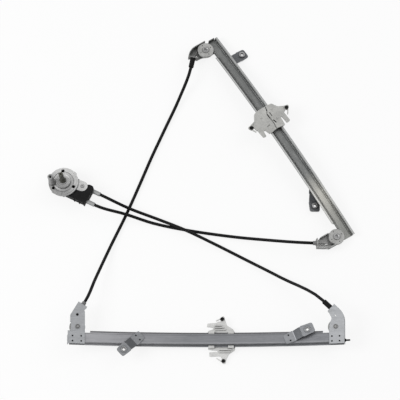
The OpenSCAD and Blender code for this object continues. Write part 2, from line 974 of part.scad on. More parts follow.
module boot() {
    difference() {
        rotate_extrude()
            polygon([
                [0, 0], [boot_r, 0], [boot_r, boot_l - 1], [boot_r - 0.6, boot_l],
                [0, boot_l]
            ]);
        translate([0, 0, boot_l - socket_d])
            cylinder(h = socket_d + 1, r = sheath_r);
        translate([0, 0, -1])
            cylinder(h = boot_l, r = wire_r + 0.2);
    }
}

module plug() {
    difference() {
        rotate_extrude()
            polygon([
                [0, 0], [plug_r, 0], [plug_r, 2], [plug_r - 0.7, 2.4], [plug_r - 0.7, plug_l - 0.6],
                [plug_r - 1.3, plug_l], [0, plug_l]
            ]);
        translate([0, 0, plug_l - plug_socket_d])
            cylinder(h = plug_socket_d + 1, r = sheath_r);
        translate([0, 0, -1])
            cylinder(h = plug_l, r = wire_r + 0.2);
    }
}

module boot_a() {
    color(black)
        at_rail_a()
            at_top(rail_a_span)
                at_seat(top_seat_a, horn_turn)
                    boot();
}

module boot_b() {
    color(black)
        at_rail_b()
            at_top(rail_b_span)
                at_seat(top_seat_b, horn_turn)
                    boot();
}

module plug_a() {
    color(nylon)
        at_rail_a()
            at_bottom(rail_a_span)
                at_seat(seat_a, slant)
                    plug();
}

module plug_b() {
    color(nylon)
        at_rail_b()
            at_bottom(rail_b_span)
                at_seat(seat_b, slant)
                    plug();
}

// Winder

module winder_flange() {
    ring_in = cup_r + 4.4;
    ring_out = flange_r - 3.6;
    color(zinc)
        at_winder()
            difference() {
                union() {
                    rotate_extrude($fn = 96)
                        polygon([
                            [cup_r - 4, 0], [flange_r, 0], [flange_r, flange_t - 0.5],
                            [flange_r - 0.5, flange_t], [ring_out + 0.6, flange_t],
                            [ring_out, flange_t + 0.7], [ring_in + 1.6, flange_t + 0.7],
                            [ring_in + 1.3, flange_t - 0.3], [ring_in + 0.3, flange_t - 0.3],
                            [ring_in, flange_t + 0.8], [cup_r + 0.5, flange_t + 1.7],
                            [cup_r + 0.5, flange_t], [cup_r - 4, flange_t]
                        ]);
                    for (a = [-58, 66])
                        rotate([0, 0, a])
                            translate([flange_r - 1.5, -3, 0])
                                cube([2.8, 6, flange_t - 0.5]);
                }
                rotate([0, 0, -62])
                    translate([ring_in, -3.4, flange_t - 0.4])
                        cube([flange_r, 6.8, 3]);
                for (a = [0, 120, 240])
                    rotate([0, 0, a])
                        translate([flange_pcd / 2, 0, -1])
                            cylinder(h = flange_t + 3, r = flange_hole_r);
                rotate([0, 0, 210])
                    translate([post_at, 0, -1]) {
                        cylinder(h = flange_t + 3, r = post_r - 1.4 + run_gap);
                        translate([0, 0, flange_t + 1.75])
                            cylinder(h = 3, r = post_r + 1.1);
                    }
            }
}

module brake_cup() {
    color(zinc)
        at_winder()
            rotate_extrude($fn = 96)
                polygon([
                    [hub_r + run_gap, flange_t + cup_h - cup_wall],
                    [hub_r + run_gap, flange_t + cup_h + 1.2],
                    [hub_r + 1.6, flange_t + cup_h + 1.2], [hub_r + 2.4, flange_t + cup_h - 0.4],
                    [cup_r - 3, flange_t + cup_h - 0.4], [cup_r - 2, flange_t + cup_h],
                    [cup_r - 0.8, flange_t + cup_h], [cup_r, flange_t + cup_h - 0.8],
                    [cup_r, flange_t + seat_gap], [cup_r - cup_wall, flange_t + seat_gap],
                    [cup_r - cup_wall, flange_t + cup_h - cup_wall]
                ]);
}

module crank_shaft() {
    hub_top = flange_t + cup_h + 2.5;
    neck_z = hub_top + 9;
    color([0.27, 0.27, 0.22])
        at_winder()
            difference() {
                union() {
                    translate([0, 0, housing_bottom + 0.2])
                        cylinder(h = hub_top - housing_bottom, r = shaft_r);
                    translate([0, 0, flange_t + 0.5])
                        cylinder(h = hub_top - flange_t - 0.5, r = hub_r);
                    translate([0, 0, hub_top])
                        cylinder(h = neck_z - hub_top, r1 = hub_r, r2 = shaft_r + 0.3);
                    translate([0, 0, neck_z])
                        cylinder(h = shaft_h - 1 - neck_z, r = shaft_r);
                    translate([0, 0, shaft_h - 1])
                        cylinder(h = 1, r1 = shaft_r, r2 = shaft_r - 0.7);
                }
                for (i = [0 : groove_count - 1])
                    rotate([0, 0, i * 360 / groove_count])
                        translate([shaft_r - 0.5, -0.15, (neck_z + shaft_h) / 2 + 1])
                            cube([1.5, 0.3, shaft_h]);
                translate([0, 0, shaft_h - 6])
                    cylinder(h = 7, r = 1.6);
            }
}

module cable_drum() {
    pitch = 2.1;
    bed = drum_pitch_r - wire_r;
    rim = drum_pitch_r + 1.2;
    low = housing_bottom + cover_t + 0.6;
    high = low + drum_turns * pitch + 2.8;
    color([0.85, 0.84, 0.80])
        at_winder()
            difference() {
                rotate_extrude($fn = 96)
                    polygon(concat(
                        [[shaft_r + seat_gap, low], [rim, low], [rim, low + 1]],
                        [for (i = [0 : drum_turns - 1], p = [[rim - 0.7, 0.1], [bed, 0.7], [bed, 1.4], [rim - 0.7, 2]])
                            [p[0], low + 1.2 + i * pitch + p[1]]],
                        [[rim, high - 1], [rim, high], [shaft_r + seat_gap, high]]
                    ));
                for (a = [30 : 60 : 330])
                    rotate([0, 0, a])
                        translate([shaft_r + 5.4, 0, low - 1])
                            cylinder(h = high - low + 2, r = 2.4);
            }
}

// Coil of square wire between the cup and the shaft's hub
function coil_ring(i, n, r, w, z0, rise) =
    let (a = i * 360 / n)
    [for (c = [[-w, -w], [w, -w], [w, w], [-w, w]]) [(r + c[0]) * cos(a), (r + c[0]) * sin(a), z0 + rise * i / n + c[1]]];

module brake_spring() {
    n = 24;
    turns = 3;
    last = n * turns;
    half_w = 0.7;
    mid = cup_r - cup_wall - half_w - run_gap;
    rings = [for (i = [0 : last]) coil_ring(i, n, mid, half_w, flange_t + 1.4, 1.7)];
    color(dark_steel)
        at_winder()
            polyhedron(
                points = [for (ring = rings) for (p = ring) p],
                faces = concat(
                    [[0, 1, 2, 3]],
                    [for (i = [0 : last - 1], k = [0 : 3])
                        [4 * i + k, 4 * i + 4 + k, 4 * i + 4 + (k + 1) % 4, 4 * i + (k + 1) % 4]],
                    [[4 * last + 3, 4 * last + 2, 4 * last + 1, 4 * last]]
                )
            );
}

module backing_plate() {
    color(zinc)
        at_winder()
            difference() {
                union() {
                    translate([0, 0, housing_top])
                        cylinder(h = backing_t - seat_gap, r = flange_pcd / 2 + bolt_edge, $fn = 96);
                    bar([12, 6], lug_at, 2 * lug_r, housing_top, -seat_gap);
                }
                translate([0, 0, housing_top - 1])
                    cylinder(h = backing_t + 2, r = cup_r - 4);
                for (a = [0, 120, 240])
                    rotate([0, 0, a])
                        translate([flange_pcd / 2, 0, housing_top - 1])
                            cylinder(h = backing_t + 2, r = flange_hole_r);
                rotate([0, 0, 210])
                    translate([post_at, 0, housing_top - 1])
                        cylinder(h = backing_t + 2, r = post_r - 1.4 + run_gap);
                translate([lug_at[0], lug_at[1], housing_top - 1])
                    cylinder(h = backing_t + 2, r = 2 + run_gap);
            }
}

module lug_rivet() {
    color(steel)
        at_winder()
            translate([lug_at[0], lug_at[1], 0])
                difference() {
                    union() {
                        translate([0, 0, housing_top - 5])
                            cylinder(h = 5 + backing_t + 0.8, r = 2);
                        cylinder(h = 1.2, r1 = 4, r2 = 3.2);
                    }
                    translate([0, 0, 0.2])
                        cylinder(h = 2, r = 1.4);
                }
}

// Top outline of the housing's arm, with the raised corner beside the upper sheath
arm_outline = [
    [12, -arm_y], [arm_end - 1.5, -arm_y], [arm_end + 2, -7], [arm_end + 2, arm_y - 5],
    [arm_end - 0.5, arm_y - 1.5], [arm_end - 8, arm_y - 1.2], [arm_end - 12, arm_y - 3.2], [18, arm_y]
];

module drum_housing() {
    wall = 2.2;
    boss_h = 10;
    color(black)
        at_winder()
            difference() {
                union() {
                    translate([0, 0, housing_top - 4])
                        cylinder(h = 4 - seat_gap, r = flange_pcd / 2 + bolt_edge - 0.5, $fn = 96);
                    translate([0, 0, housing_bottom])
                        cylinder(h = housing_h - seat_gap, r = chamber_r, $fn = 96);
                    plate(arm_outline, 1.2, housing_bottom + 3, housing_top - seat_gap);
                    for (x = [arm_end - 23 : 10.5 : arm_end - 2])
                        translate([x, -arm_y - 1.3, housing_bottom + 3])
                            cube([2, 4, housing_h - 6]);
                    for (x = [arm_end - 17.5 : 10.5 : arm_end - 7])
                        translate([x, arm_y - 5, housing_bottom + 3])
                            cube([2, 4.6, housing_h - 6]);
                    for (a = [0, 120, 240])
                        rotate([0, 0, a])
                            translate([flange_pcd / 2, 0, housing_top - boss_h - 1.5])
                                cylinder(h = boss_h + 1, r = flange_hole_r + wall);
                    at_cover_screws()
                        translate([0, 0, housing_bottom])
                            cylinder(h = housing_h - 1, r = screw_boss_r);
                }
                translate([0, 0, housing_bottom - 1])
                    cylinder(h = housing_h - 0.8, r = chamber_inner_r, $fn = 96);
                translate([0, 0, housing_bottom - 1])
                    cylinder(h = housing_h + 2, r = cup_r - 4);
                for (x = pocket_at)
                    for (y = [-arm_y + 2, arm_y - 8.5])
                        translate([x, y, housing_bottom + 1])
                            cube([4, 6.5, 5.5]);
                for (side = [-1, 1])
                    translate([10, side * exit_y, exit_z])
                        rotate([0, 90, 0])
                            cylinder(h = arm_end, r = 1.8);
                for (side = [-1, 1])
                    translate([arm_end - 10, side * exit_y, exit_z])
                        rotate([0, 90, 0])
                            cylinder(h = 14, r = ferrule_r + run_gap);
                at_cover_screws()
                    translate([0, 0, housing_bottom - 1])
                        cylinder(h = 10.5, r = 1.6 + run_gap);
                translate([lug_at[0], lug_at[1], housing_top - 5.5])
                    cylinder(h = 8, r = 2 + run_gap);
                for (a = [0, 120, 240])
                    rotate([0, 0, a])
                        translate([flange_pcd / 2, 0, housing_top - boss_h])
                            cylinder(h = boss_h + 1, r = flange_hole_r);
                rotate([0, 0, 210])
                    translate([post_at, 0, housing_top - 2])
                        cylinder(h = 3, r = post_r - 1.4 + run_gap);
            }
}

// Three screws that hold the cover: two beside the chamber and one in the arm
screw_boss_r = 3.6;
screw_at = [21.4 * [cos(60), sin(60)], [-21.4, 0], [31, -2]];

module at_cover_screws() {
    for (p = screw_at)
        translate([p[0], p[1], 0])
            children();
}

module back_cover() {
    color(black)
        at_winder()
            difference() {
                union() {
                    translate([0, 0, housing_bottom - cover_t])
                        cylinder(h = cover_t - seat_gap, r = chamber_r - 0.3, $fn = 96);
                    for (p = screw_at)
                        bar([0, 0], p, 2 * screw_boss_r, housing_bottom - cover_t, housing_bottom - seat_gap);
                    translate([0, 0, housing_bottom - 0.5])
                        cylinder(h = 1.8, r = chamber_inner_r - part_gap, $fn = 96);
                    for (a = [0 : 60 : 300])
                        rotate([0, 0, a])
                            translate([7, -0.8, housing_bottom - cover_t - 0.8])
                                cube([10, 1.6, 1]);
                }
                translate([0, 0, housing_bottom - 0.1])
                    cylinder(h = 4, r = shaft_r + run_gap);
                at_cover_screws()
                    translate([0, 0, housing_bottom - cover_t - 1])
                        cylinder(h = cover_t + 2, r = 1.6 + run_gap);
            }
}

module cover_screws() {
    color(steel)
        at_winder()
            at_cover_screws()
                translate([0, 0, housing_bottom - cover_t])
                    difference() {
                        union() {
                            cylinder(h = 10, r = 1.6);
                            translate([0, 0, -1.6])
                                cylinder(h = 1.6 - seat_gap, r1 = 2.2, r2 = 3);
                        }
                        translate([-0.5, -1.8, -1.7])
                            cube([1, 3.6, 0.9]);
                        translate([-1.8, -0.5, -1.7])
                            cube([3.6, 1, 0.9]);
                    }
}

module winder_post() {
    color(zinc)
        at_winder()
            rotate([0, 0, 210])
                translate([post_at, 0, 0])
                    difference() {
                        union() {
                            translate([0, 0, housing_top - 1.5])
                                cylinder(h = flange_t + 4, r = post_r - 1.4);
                            translate([0, 0, flange_t + 0.8 + seat_gap])
                                cylinder(h = 9, r = post_r + 0.9);
                            translate([0, 0, flange_t + 9.8])
                                cylinder(h = 1, r1 = post_r + 0.9, r2 = post_r);
                            translate([0, 0, flange_t + 1])
                                cylinder(h = post_h - 2, r = post_r);
                            translate([0, 0, flange_t + post_h - 1])
                                cylinder(h = 1.2, r1 = post_r, r2 = post_r - 1.2);
                        }
                        translate([0, 0, flange_t + post_h - 14])
                            cylinder(h = 16, r = 2.5);
                        translate([0, 0, flange_t + post_h - 1.4])
                            cylinder(h = 2, r1 = 2.5, r2 = 4);
                    }
}

module ferrule(side) {
    translate([arm_end - 10, side * exit_y, exit_z])
        rotate([0, 90, 0])
            difference() {
                union() {
                    cylinder(h = 10 + ferrule_l - 1, r = ferrule_r);
                    translate([0, 0, 9 + ferrule_l])
                        cylinder(h = 1, r1 = ferrule_r, r2 = ferrule_r - 0.7);
                }
                translate([0, 0, -1])
                    cylinder(h = 12 + ferrule_l, r = wire_r + 0.3);
                translate([0, 0, 10 + ferrule_l - socket_d])
                    cylinder(h = socket_d + 1, r = sheath_r);
            }
}

module ferrule_a() {
    color(zinc)
        at_winder()
            ferrule(1);
}

module ferrule_b() {
    color(zinc)
        at_winder()
            ferrule(-1);
}

// Places worked out in the shared frame, for the sheaths

function turn_x(p, a) = [p[0], p[1] * cos(a) - p[2] * sin(a), p[1] * sin(a) + p[2] * cos(a)];
function turn_y(p, a) = [p[0] * cos(a) + p[2] * sin(a), p[1], p[2] * cos(a) - p[0] * sin(a)];
function turn_z(p, a) = [p[0] * cos(a) - p[1] * sin(a), p[0] * sin(a) + p[1] * cos(a), p[2]];
function from_bow(p, s) = turn_y(p + [0, 0, bow_r], bow_angle(s)) - [0, 0, bow_r];
function from_rail_a(p) = rail_a_pos + turn_x([p[0], p[1], -p[2]], rail_a_roll);
function from_rail_b(p) = rail_b_pos + turn_z(turn_x(p, rail_b_roll), 180 - rail_b_heading);
function from_winder(p) = winder_pos + turn_y(turn_z(p, -winder_heading), -winder_lean);

// Place d out of a seat that is turned, at the top or the bottom of a rail
function off_top(seat, turn, span, d) =
    from_bow([seat[0] - d * sin(turn), seat[1] + d * cos(turn), wire_z], span / 2);
function off_bottom(seat, turn, span, d) =
    from_bow([d * sin(turn) - seat[0], seat[1] + d * cos(turn), wire_z], -span / 2);
function off_ferrule(side, d) = from_winder([arm_end + d, side * exit_y, exit_z]);

function unit(v) = v / norm(v);

// Place on a smooth curve from p to q, that leaves along u and arrives along v
function bend(p, q, u, v, t) =
    let (l = norm(q - p))
    (2 * t * t * t - 3 * t * t + 1) * p + (t * t * t - 2 * t * t + t) * l * u
        + (3 * t * t - 2 * t * t * t) * q + (t * t * t - t * t) * l * v;

// Smooth course through points, steps rings to each stretch
function course(pts, u0, u1, steps) =
    let (
        k = len(pts) - 1,
        heads = [for (i = [0 : k]) i == 0 ? u0 : i == k ? u1 : unit(pts[i + 1] - pts[i - 1])]
    )
    concat(
        [for (i = [0 : k - 1], j = [0 : steps - 1])
            bend(pts[i], pts[i + 1], heads[i], heads[i + 1], j / steps)],
        [pts[k]]
    );

// Tube round a list of places, square to u0 and u1 at its two straight ends
module tube(path, u0, u1, r, sides = 10) {
    last = len(path) - 1;
    points = [
        for (i = [0 : last])
            let (
                ahead = i < 2 ? u0 : i > last - 2 ? u1 : unit(path[i + 1] - path[i - 1]),
                across = unit(cross(ahead, [0, 0, 1])),
                upward = cross(across, ahead)
            )
            for (k = [0 : sides - 1])
                path[i] + r * (cos(k * 360 / sides) * across + sin(k * 360 / sides) * upward)
    ];
    faces = concat(
        [[for (k = [sides - 1 : -1 : 0]) k]],
        [for (i = [0 : last - 1], k = [0 : sides - 1], half = [0, 1])
            let (a = i * sides + k, b = i * sides + (k + 1) % sides)
            half == 0 ? [a, b, b + sides] : [a, b + sides, a + sides]],
        [[for (k = [0 : sides - 1]) last * sides + k]]
    );
    polyhedron(points = points, faces = faces);
}

// Sheath from one socket, through a route, to another. Each end is [bottom of the socket, its mouth].
module sheath(from, route, to, steps) {
    u0 = unit(from[1] - from[0]);
    u1 = unit(to[0] - to[1]);
    color(black)
        tube(
            concat([from[0]], course(concat([from[1]], route, [to[1]]), u0, u1, steps), [to[0]]),
            u0, u1, sheath_r
        );
}

module sheath_a() {
    sheath(
        [off_ferrule(1, ferrule_l - socket_d), off_ferrule(1, ferrule_l + 2)],
        route_a,
        [for (d = [boot_l - socket_d, boot_l + 2])
            from_rail_a(off_top(top_seat_a, horn_turn, rail_a_span, d))],
        4
    );
}

module sheath_b() {
    sheath(
        [off_ferrule(-1, ferrule_l - socket_d), off_ferrule(-1, ferrule_l + 2)],
        route_b,
        [for (d = [plug_l - plug_socket_d, plug_l + 2])
            from_rail_b(off_bottom(seat_b, slant, rail_b_span, d))],
        4
    );
}

module sheath_c() {
    sheath(
        [for (d = [plug_l - plug_socket_d, plug_l + 2])
            from_rail_a(off_bottom(seat_a, slant, rail_a_span, d))],
        route_c,
        [for (d = [boot_l - socket_d, boot_l + 2])
            from_rail_b(off_top(top_seat_b, horn_turn, rail_b_span, d))],
        3
    );
}

// Tapered stop in the outer rim of rail A's top bracket
module at_stub() {
    translate([tray_x - 5, -6.5, 4])
        rotate([0, 90, 0])
            children();
}

module end_stub() {
    color(black)
        at_rail_a()
            at_top(rail_a_span)
                at_stub()
                    union() {
                        cylinder(h = stub_l, r = stub_r);
                        translate([0, 0, 5 + seat_gap])
                            cylinder(h = 3, r1 = 4, r2 = stub_r);
                    }
}

winder_flange();
brake_cup();
backing_plate();
drum_housing();
back_cover();
cover_screws();
winder_post();
lug_rivet();
ferrule_a();
ferrule_b();
crank_shaft();
cable_drum();
brake_spring();
rail_a();
rail_b();
bracket_a_top();
bracket_a_bottom();
bracket_b_top();
bracket_b_bottom();
pulley_a_top();
pulley_a_bottom();
pulley_b_top();
pulley_b_bottom();
pulley_rivets();
mount_a_top();
mount_a_bottom();
mount_b_top();
mount_b_bottom();
mount_nuts();
carrier_a();
carrier_b();
buffers_a();
buffers_b();
nipples_a();
nipples_b();
boot_a();
boot_b();
plug_a();
plug_b();
end_stub();
wire_a();
wire_b();
sheath_a();
sheath_b();
sheath_c();
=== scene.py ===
"""Dresses the solids of a two-rail window regulator with its finishes, cords and fine parts.

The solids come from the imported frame. Everything here is in metres in the frame's own axes: +Z up,
the origin under the middle of the object on the surface that it lies on.
"""

from __future__ import annotations

import logging
import math
from dataclasses import dataclass, field
from enum import Enum
from typing import Sequence

import bpy
from mathutils import Matrix, Vector


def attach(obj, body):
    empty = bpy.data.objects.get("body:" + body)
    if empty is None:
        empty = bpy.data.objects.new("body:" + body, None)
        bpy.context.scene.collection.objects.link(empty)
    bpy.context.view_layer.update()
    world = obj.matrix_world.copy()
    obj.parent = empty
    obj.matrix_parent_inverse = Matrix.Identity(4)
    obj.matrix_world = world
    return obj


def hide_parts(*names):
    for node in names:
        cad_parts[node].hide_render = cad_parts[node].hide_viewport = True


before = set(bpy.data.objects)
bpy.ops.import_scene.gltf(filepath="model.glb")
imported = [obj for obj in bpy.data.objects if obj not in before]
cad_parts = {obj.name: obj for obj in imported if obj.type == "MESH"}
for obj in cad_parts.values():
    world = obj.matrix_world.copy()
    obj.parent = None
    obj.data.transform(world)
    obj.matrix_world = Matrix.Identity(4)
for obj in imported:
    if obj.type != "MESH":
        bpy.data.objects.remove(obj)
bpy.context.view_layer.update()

LOG = logging.getLogger("window_regulator")
MM = 0.001
WHITE = (1, 1, 1, 1)

Pair = tuple[float, float]
Point = tuple[float, float, float]
Output = bpy.types.NodeSocket


# Places


def turned(degrees: float, axis: str) -> Matrix:
    """Returns a turn about an axis, in degrees."""
    return Matrix.Rotation(math.radians(degrees), 4, axis)


def moved(x: float, y: float, z: float) -> Matrix:
    """Returns a shift, given in millimetres."""
    return Matrix.Translation((x * MM, y * MM, z * MM))


@dataclass(frozen=True)
class Bow:
    """The bowed line that a rail follows, where the rail lies and how far its two seats reach."""

    lay: Matrix
    span: float
    low_reach: float
    top_reach: float
    radius: float = 1800.0

    def at(self, station: float) -> Matrix:
        """Finds a place on the rail.

        Args:
            station: Distance up the rail from its middle, in millimetres.

        Returns:
            The matrix from the place's own axes to the frame's.
        """
        lean = turned(math.degrees(station / self.radius), "Y")
        return self.lay @ moved(0, 0, -self.radius) @ lean @ moved(0, 0, self.radius)

    def top(self) -> Matrix:
        """Returns the place of the top pulley."""
        return self.at(self.span / 2)

    def bottom(self) -> Matrix:
        """Returns the place of the bottom pulley, with X out of the rail's end."""
        return self.at(-self.span / 2) @ Matrix.Scale(-1, 4, (1, 0, 0))


RAIL_A = Bow(moved(10.3, -283.6, 16.3) @ turned(4, "X") @ Matrix.Scale(-1, 4, (0, 0, 1)), 489, 25, 15)
RAIL_B_TURN = -56.75
RAIL_B = Bow(moved(150.1, 123.1, 19.15) @ turned(180 + RAIL_B_TURN, "Z") @ turned(8, "X"), 452, 21, 5)
WINDER = moved(-261.3, 28.2, 25.4) @ turned(-6, "Y") @ turned(-28, "Z")
WIRE_HEIGHT = 4.6


@dataclass(frozen=True)
class MountPlace:
    """Where a mount bracket sits on its rail, and how far its nut reaches."""

    rail: Bow
    station: float
    side: float
    turn: float
    reach: float
    drop: float

    def lay(self) -> Matrix:
        """Returns the bracket's own axes, with X along it."""
        return self.rail.at(self.station) @ moved(0, self.side, 0) @ turned(self.turn, "Z")


MOUNTS = {
    "a_top": MountPlace(RAIL_A, 157, 0, 22, 37, 8),
    "a_bottom": MountPlace(RAIL_A, -130, 1, 223, 37, 8),
    "b_top": MountPlace(RAIL_B, 183, -4, 270, 31, 0.4),
    "b_bottom": MountPlace(RAIL_B, -124, 3, 150, 31, 8),
}


def placed(name: str, data: bpy.types.ID) -> bpy.types.Object:
    """Adds an object to the scene. Returns it."""
    piece = bpy.data.objects.new(name, data)
    bpy.context.scene.collection.objects.link(piece)
    return piece


def poly_line(name: str, line: Sequence[Vector]) -> bpy.types.Curve:
    """Makes a curve of straight steps.

    Args:
        name: The curve's name.
        line: The points that it goes through.

    Returns:
        The curve.
    """
    curve = bpy.data.curves.new(name, "CURVE")
    curve.dimensions = "3D"
    spline = curve.splines.new("POLY")
    spline.points.add(len(line) - 1)
    for point, place in zip(spline.points, line):
        point.co = (*place, 1.0)
    return curve


# Nodes


class Socket(Enum):
    """The kinds of socket that a node group has."""

    NUMBER = "NodeSocketFloat"
    COUNT = "NodeSocketInt"
    VECTOR = "NodeSocketVector"
    GEOMETRY = "NodeSocketGeometry"
    MATERIAL = "NodeSocketMaterial"


class NodeSheet:
    """A small helper that places and joins nodes in one tree."""

    step_width = 180

    def __init__(self, tree: bpy.types.NodeTree) -> None:
        """Keeps the tree, and clears it."""
        self.tree = tree
        tree.nodes.clear()

    def add(
        self, kind: str, inputs: dict[str | int, object] | None = None, **values: object
    ) -> bpy.types.Node:
        """Adds a node.

        Args:
            kind: The node's type name.
            inputs: What its inputs get, by name or number: an output to link, or a value.
            values: Properties of the node, by name.

        Returns:
            The new node.
        """
        node = self.tree.nodes.new(kind)
        node.location = (len(self.tree.nodes) * self.step_width, 0)
        for name, value in values.items():
            setattr(node, name, value)
        for key, value in (inputs or {}).items():
            if isinstance(value, Output):
                self.tree.links.new(value, node.inputs[key])
            else:
                node.inputs[key].default_value = value
        return node

    def noise(self, place: Output, scale: float | Output, detail: float, rough: float | Output) -> Output:
        """Adds a noise texture.

        Args:
            place: Where it reads its place from.
            scale: Waves to the metre, roughly.
            detail: Number of finer layers.
            rough: Strength of the finer layers.

        Returns:
            The noise's value.
        """
        inputs = {"Vector": place, "Scale": scale, "Detail": detail, "Roughness": rough}
        return self.add("ShaderNodeTexNoise", inputs).outputs["Fac"]

    def spread(
        self, value: Output, low: float, high: float, to_low: float = 0.0, to_high: float = 1.0
    ) -> Output:
        """Maps a value from one range to another, held at its ends.

        Args:
            value: The value to map.
            low: Start of the range that it comes in.
            high: End of that range.
            to_low: What the start becomes.
            to_high: What the end becomes.

        Returns:
            The mapped value.
        """
        inputs = {"Value": value, "From Min": low, "From Max": high, "To Min": to_low, "To Max": to_high}
        return self.add("ShaderNodeMapRange", inputs, clamp=True).outputs["Result"]

    def maths(self, operation: str, *parts: Output | float) -> Output:
        """Puts two or more values together.

        Args:
            operation: The operation between each value and the next.
            parts: The values.

        Returns:
            The result.
        """
        total = parts[0]
        for part in parts[1:]:
            total = self.add("ShaderNodeMath", {0: total, 1: part}, operation=operation).outputs[0]
        return total

    def along(self, place: Output, start: Point, end: Point) -> Output:
        """Measures how far a place has come from one point towards another.

        Args:
            place: The place.
            start: Where the value is 0, in metres.
            end: Where it is 1.

        Returns:
            The share of the way, unbounded.
        """
        way = Vector(end) - Vector(start)
        off = self.add("ShaderNodeVectorMath", {0: place, 1: start}, operation="SUBTRACT")
        share = {0: off.outputs["Vector"], 1: way / way.length_squared}
        return self.add("ShaderNodeVectorMath", share, operation="DOT_PRODUCT").outputs["Value"]

    def mixed(self, mask: Output, first: Output | Point, second: Output | Point) -> Output:
        """Mixes two colours by a mask.

        Args:
            mask: How much of the second shows.
            first: The colour under it, as a socket or as RGB.
            second: The colour over it, as a socket or as RGB.

        Returns:
            The mixed colour.
        """
        under, over = (c if isinstance(c, Output) else (*c, 1.0) for c in (first, second))
        return self.add("ShaderNodeMix", {"Factor": mask, 6: under, 7: over}, data_type="RGBA").outputs[2]

    def group(self, tree: bpy.types.NodeTree, place: Output, **values: float) -> Output:
        """Places a shared group.

        Args:
            tree: The group.
            place: The place that it reads.
            values: Its other inputs, by name.

        Returns:
            The group's output.
        """
        return self.add("ShaderNodeGroup", {"Place": place, **values}, node_tree=tree).outputs[0]


class GroupSheet(NodeSheet):
    """A sheet on a new node group, from its named inputs to its one output."""

    def __init__(
        self, name: str, kind: str, inputs: dict[str, tuple[Socket, object]], output: tuple[str, Socket]
    ) -> None:
        """Makes the group.

        Args:
            name: The group's name.
            kind: The type of its tree.
            inputs: Kind and default of each input, by name.
            output: Name and kind of the output.
        """
        tree = bpy.data.node_groups.new(name, kind)
        for key, (socket_kind, value) in inputs.items():
            socket = tree.interface.new_socket(key, in_out="INPUT", socket_type=socket_kind.value)
            if value is not None:
                socket.default_value = value
        tree.interface.new_socket(output[0], in_out="OUTPUT", socket_type=output[1].value)
        super().__init__(tree)
        self.source = self.add("NodeGroupInput").outputs

    def ended(self, value: Output) -> bpy.types.NodeTree:
        """Puts a value out of the group. Returns the group."""
        self.add("NodeGroupOutput", {0: value})
        return self.tree


class SharedEffects:
    """Effects that more than one finish uses, each built once as a node group."""

    def __init__(self) -> None:
        """Builds the groups."""
        self.grain = self._grain()
        self.edge_wear_and_light = self._edge_wear_and_light()
        self.dirt_and_corner_shade = self._dirt_and_corner_shade()
        self.smudge = self._smudge()

    @staticmethod
    def _sheet(name: str, output: str, **numbers: float) -> GroupSheet:
        """Makes an empty group that reads a place and some numbers.

        Args:
            name: The group's name.
            output: The name of the number that it puts out.
            numbers: The default of each number that it reads, by name.

        Returns:
            A sheet on the group.
        """
        inputs = {key: (Socket.NUMBER, number) for key, number in numbers.items()}
        return GroupSheet(
            name, "ShaderNodeTree", {"Place": (Socket.VECTOR, None), **inputs}, (output, Socket.NUMBER)
        )

    def _grain(self) -> bpy.types.NodeTree:
        """Fine drawn or moulded grain. Returns the group."""
        sheet = self._sheet("Fine grain", "Grain", Scale=900, Softness=0.5)
        read = sheet.source
        return sheet.ended(sheet.noise(read["Place"], read["Scale"], 4, read["Softness"]))

    def _edge_wear_and_light(self) -> bpy.types.NodeTree:
        """Outer edges found by a bevel, broken up by a noise: partly rubbed metal, partly painted edge
        light, a painted highlight with a pale tone and painted shade with a dark one. Returns the group.
        """
        sheet = self._sheet("Rubbed and painted edge light", "Edge wear and light", Amount=0.5, Width=0.0006)
        read = sheet.source
        rounded = sheet.add("ShaderNodeBevel", {"Radius": read["Width"]}, samples=6).outputs["Normal"]
        flat = sheet.add("ShaderNodeNewGeometry").outputs["Normal"]
        same = sheet.add("ShaderNodeVectorMath", {0: rounded, 1: flat}, operation="DOT_PRODUCT")
        edge = sheet.spread(same.outputs["Value"], 0.99, 0.86)
        openness = sheet.add("ShaderNodeAmbientOcclusion", {"Distance": 0.002}, samples=6)
        outer = sheet.spread(openness.outputs["AO"], 0.72, 0.9)
        patch = sheet.spread(sheet.noise(read["Place"], 240, 4, 0.6), 0.30, 0.52, 0.65, 1.0)
        return sheet.ended(sheet.maths("MULTIPLY", edge, outer, patch, read["Amount"]))

    def _dirt_and_corner_shade(self) -> bpy.types.NodeTree:
        """Darkens corners and hollows by their ambient occlusion, broken up by a noise: partly soiling,
        partly painted shade. Returns the group.
        """
        sheet = self._sheet("Corner dirt and painted shade", "Dirt and painted shade", Amount=0.5, Reach=0.004)
        read = sheet.source
        openness = sheet.add("ShaderNodeAmbientOcclusion", {"Distance": read["Reach"]}, samples=8)
        deep = sheet.spread(openness.outputs["AO"], 0.9, 0.35)
        patch = sheet.spread(sheet.noise(read["Place"], 150, 4, 0.6), 0.3, 0.7, 0.6, 1.0)
        return sheet.ended(sheet.maths("MULTIPLY", deep, patch, read["Amount"]))

    def _smudge(self) -> bpy.types.NodeTree:
        """Broad dull patches, such as grease and handling leave. Returns the group."""
        sheet = self._sheet("Dull patches", "Patch", Scale=30)
        broad = sheet.noise(sheet.source["Place"], sheet.source["Scale"], 5, 0.62)
        return sheet.ended(sheet.spread(broad, 0.40, 0.66))


# Finishes


def toned(colour: Point, share: float, base: float = 0.0, most: float = 1.0) -> Point:
    """Darkens or lightens a colour.

    Args:
        colour: The colour.
        share: How much of it stays.
        base: What is added.
        most: The brightest that it may get.

    Returns:
        The new colour.
    """
    return tuple(min(most, base + share * c) for c in colour)


@dataclass(frozen=True)
class DustAndLightGrade:
    """A tone that grows along a piece: a layer of dust on rail B, a painted sheen on rail A and a painted
    shaded side on the winder flange.
    """

    start: Point
    end: Point
    tone: Point
    amount: float = 1.0
    ragged: float = 0.35


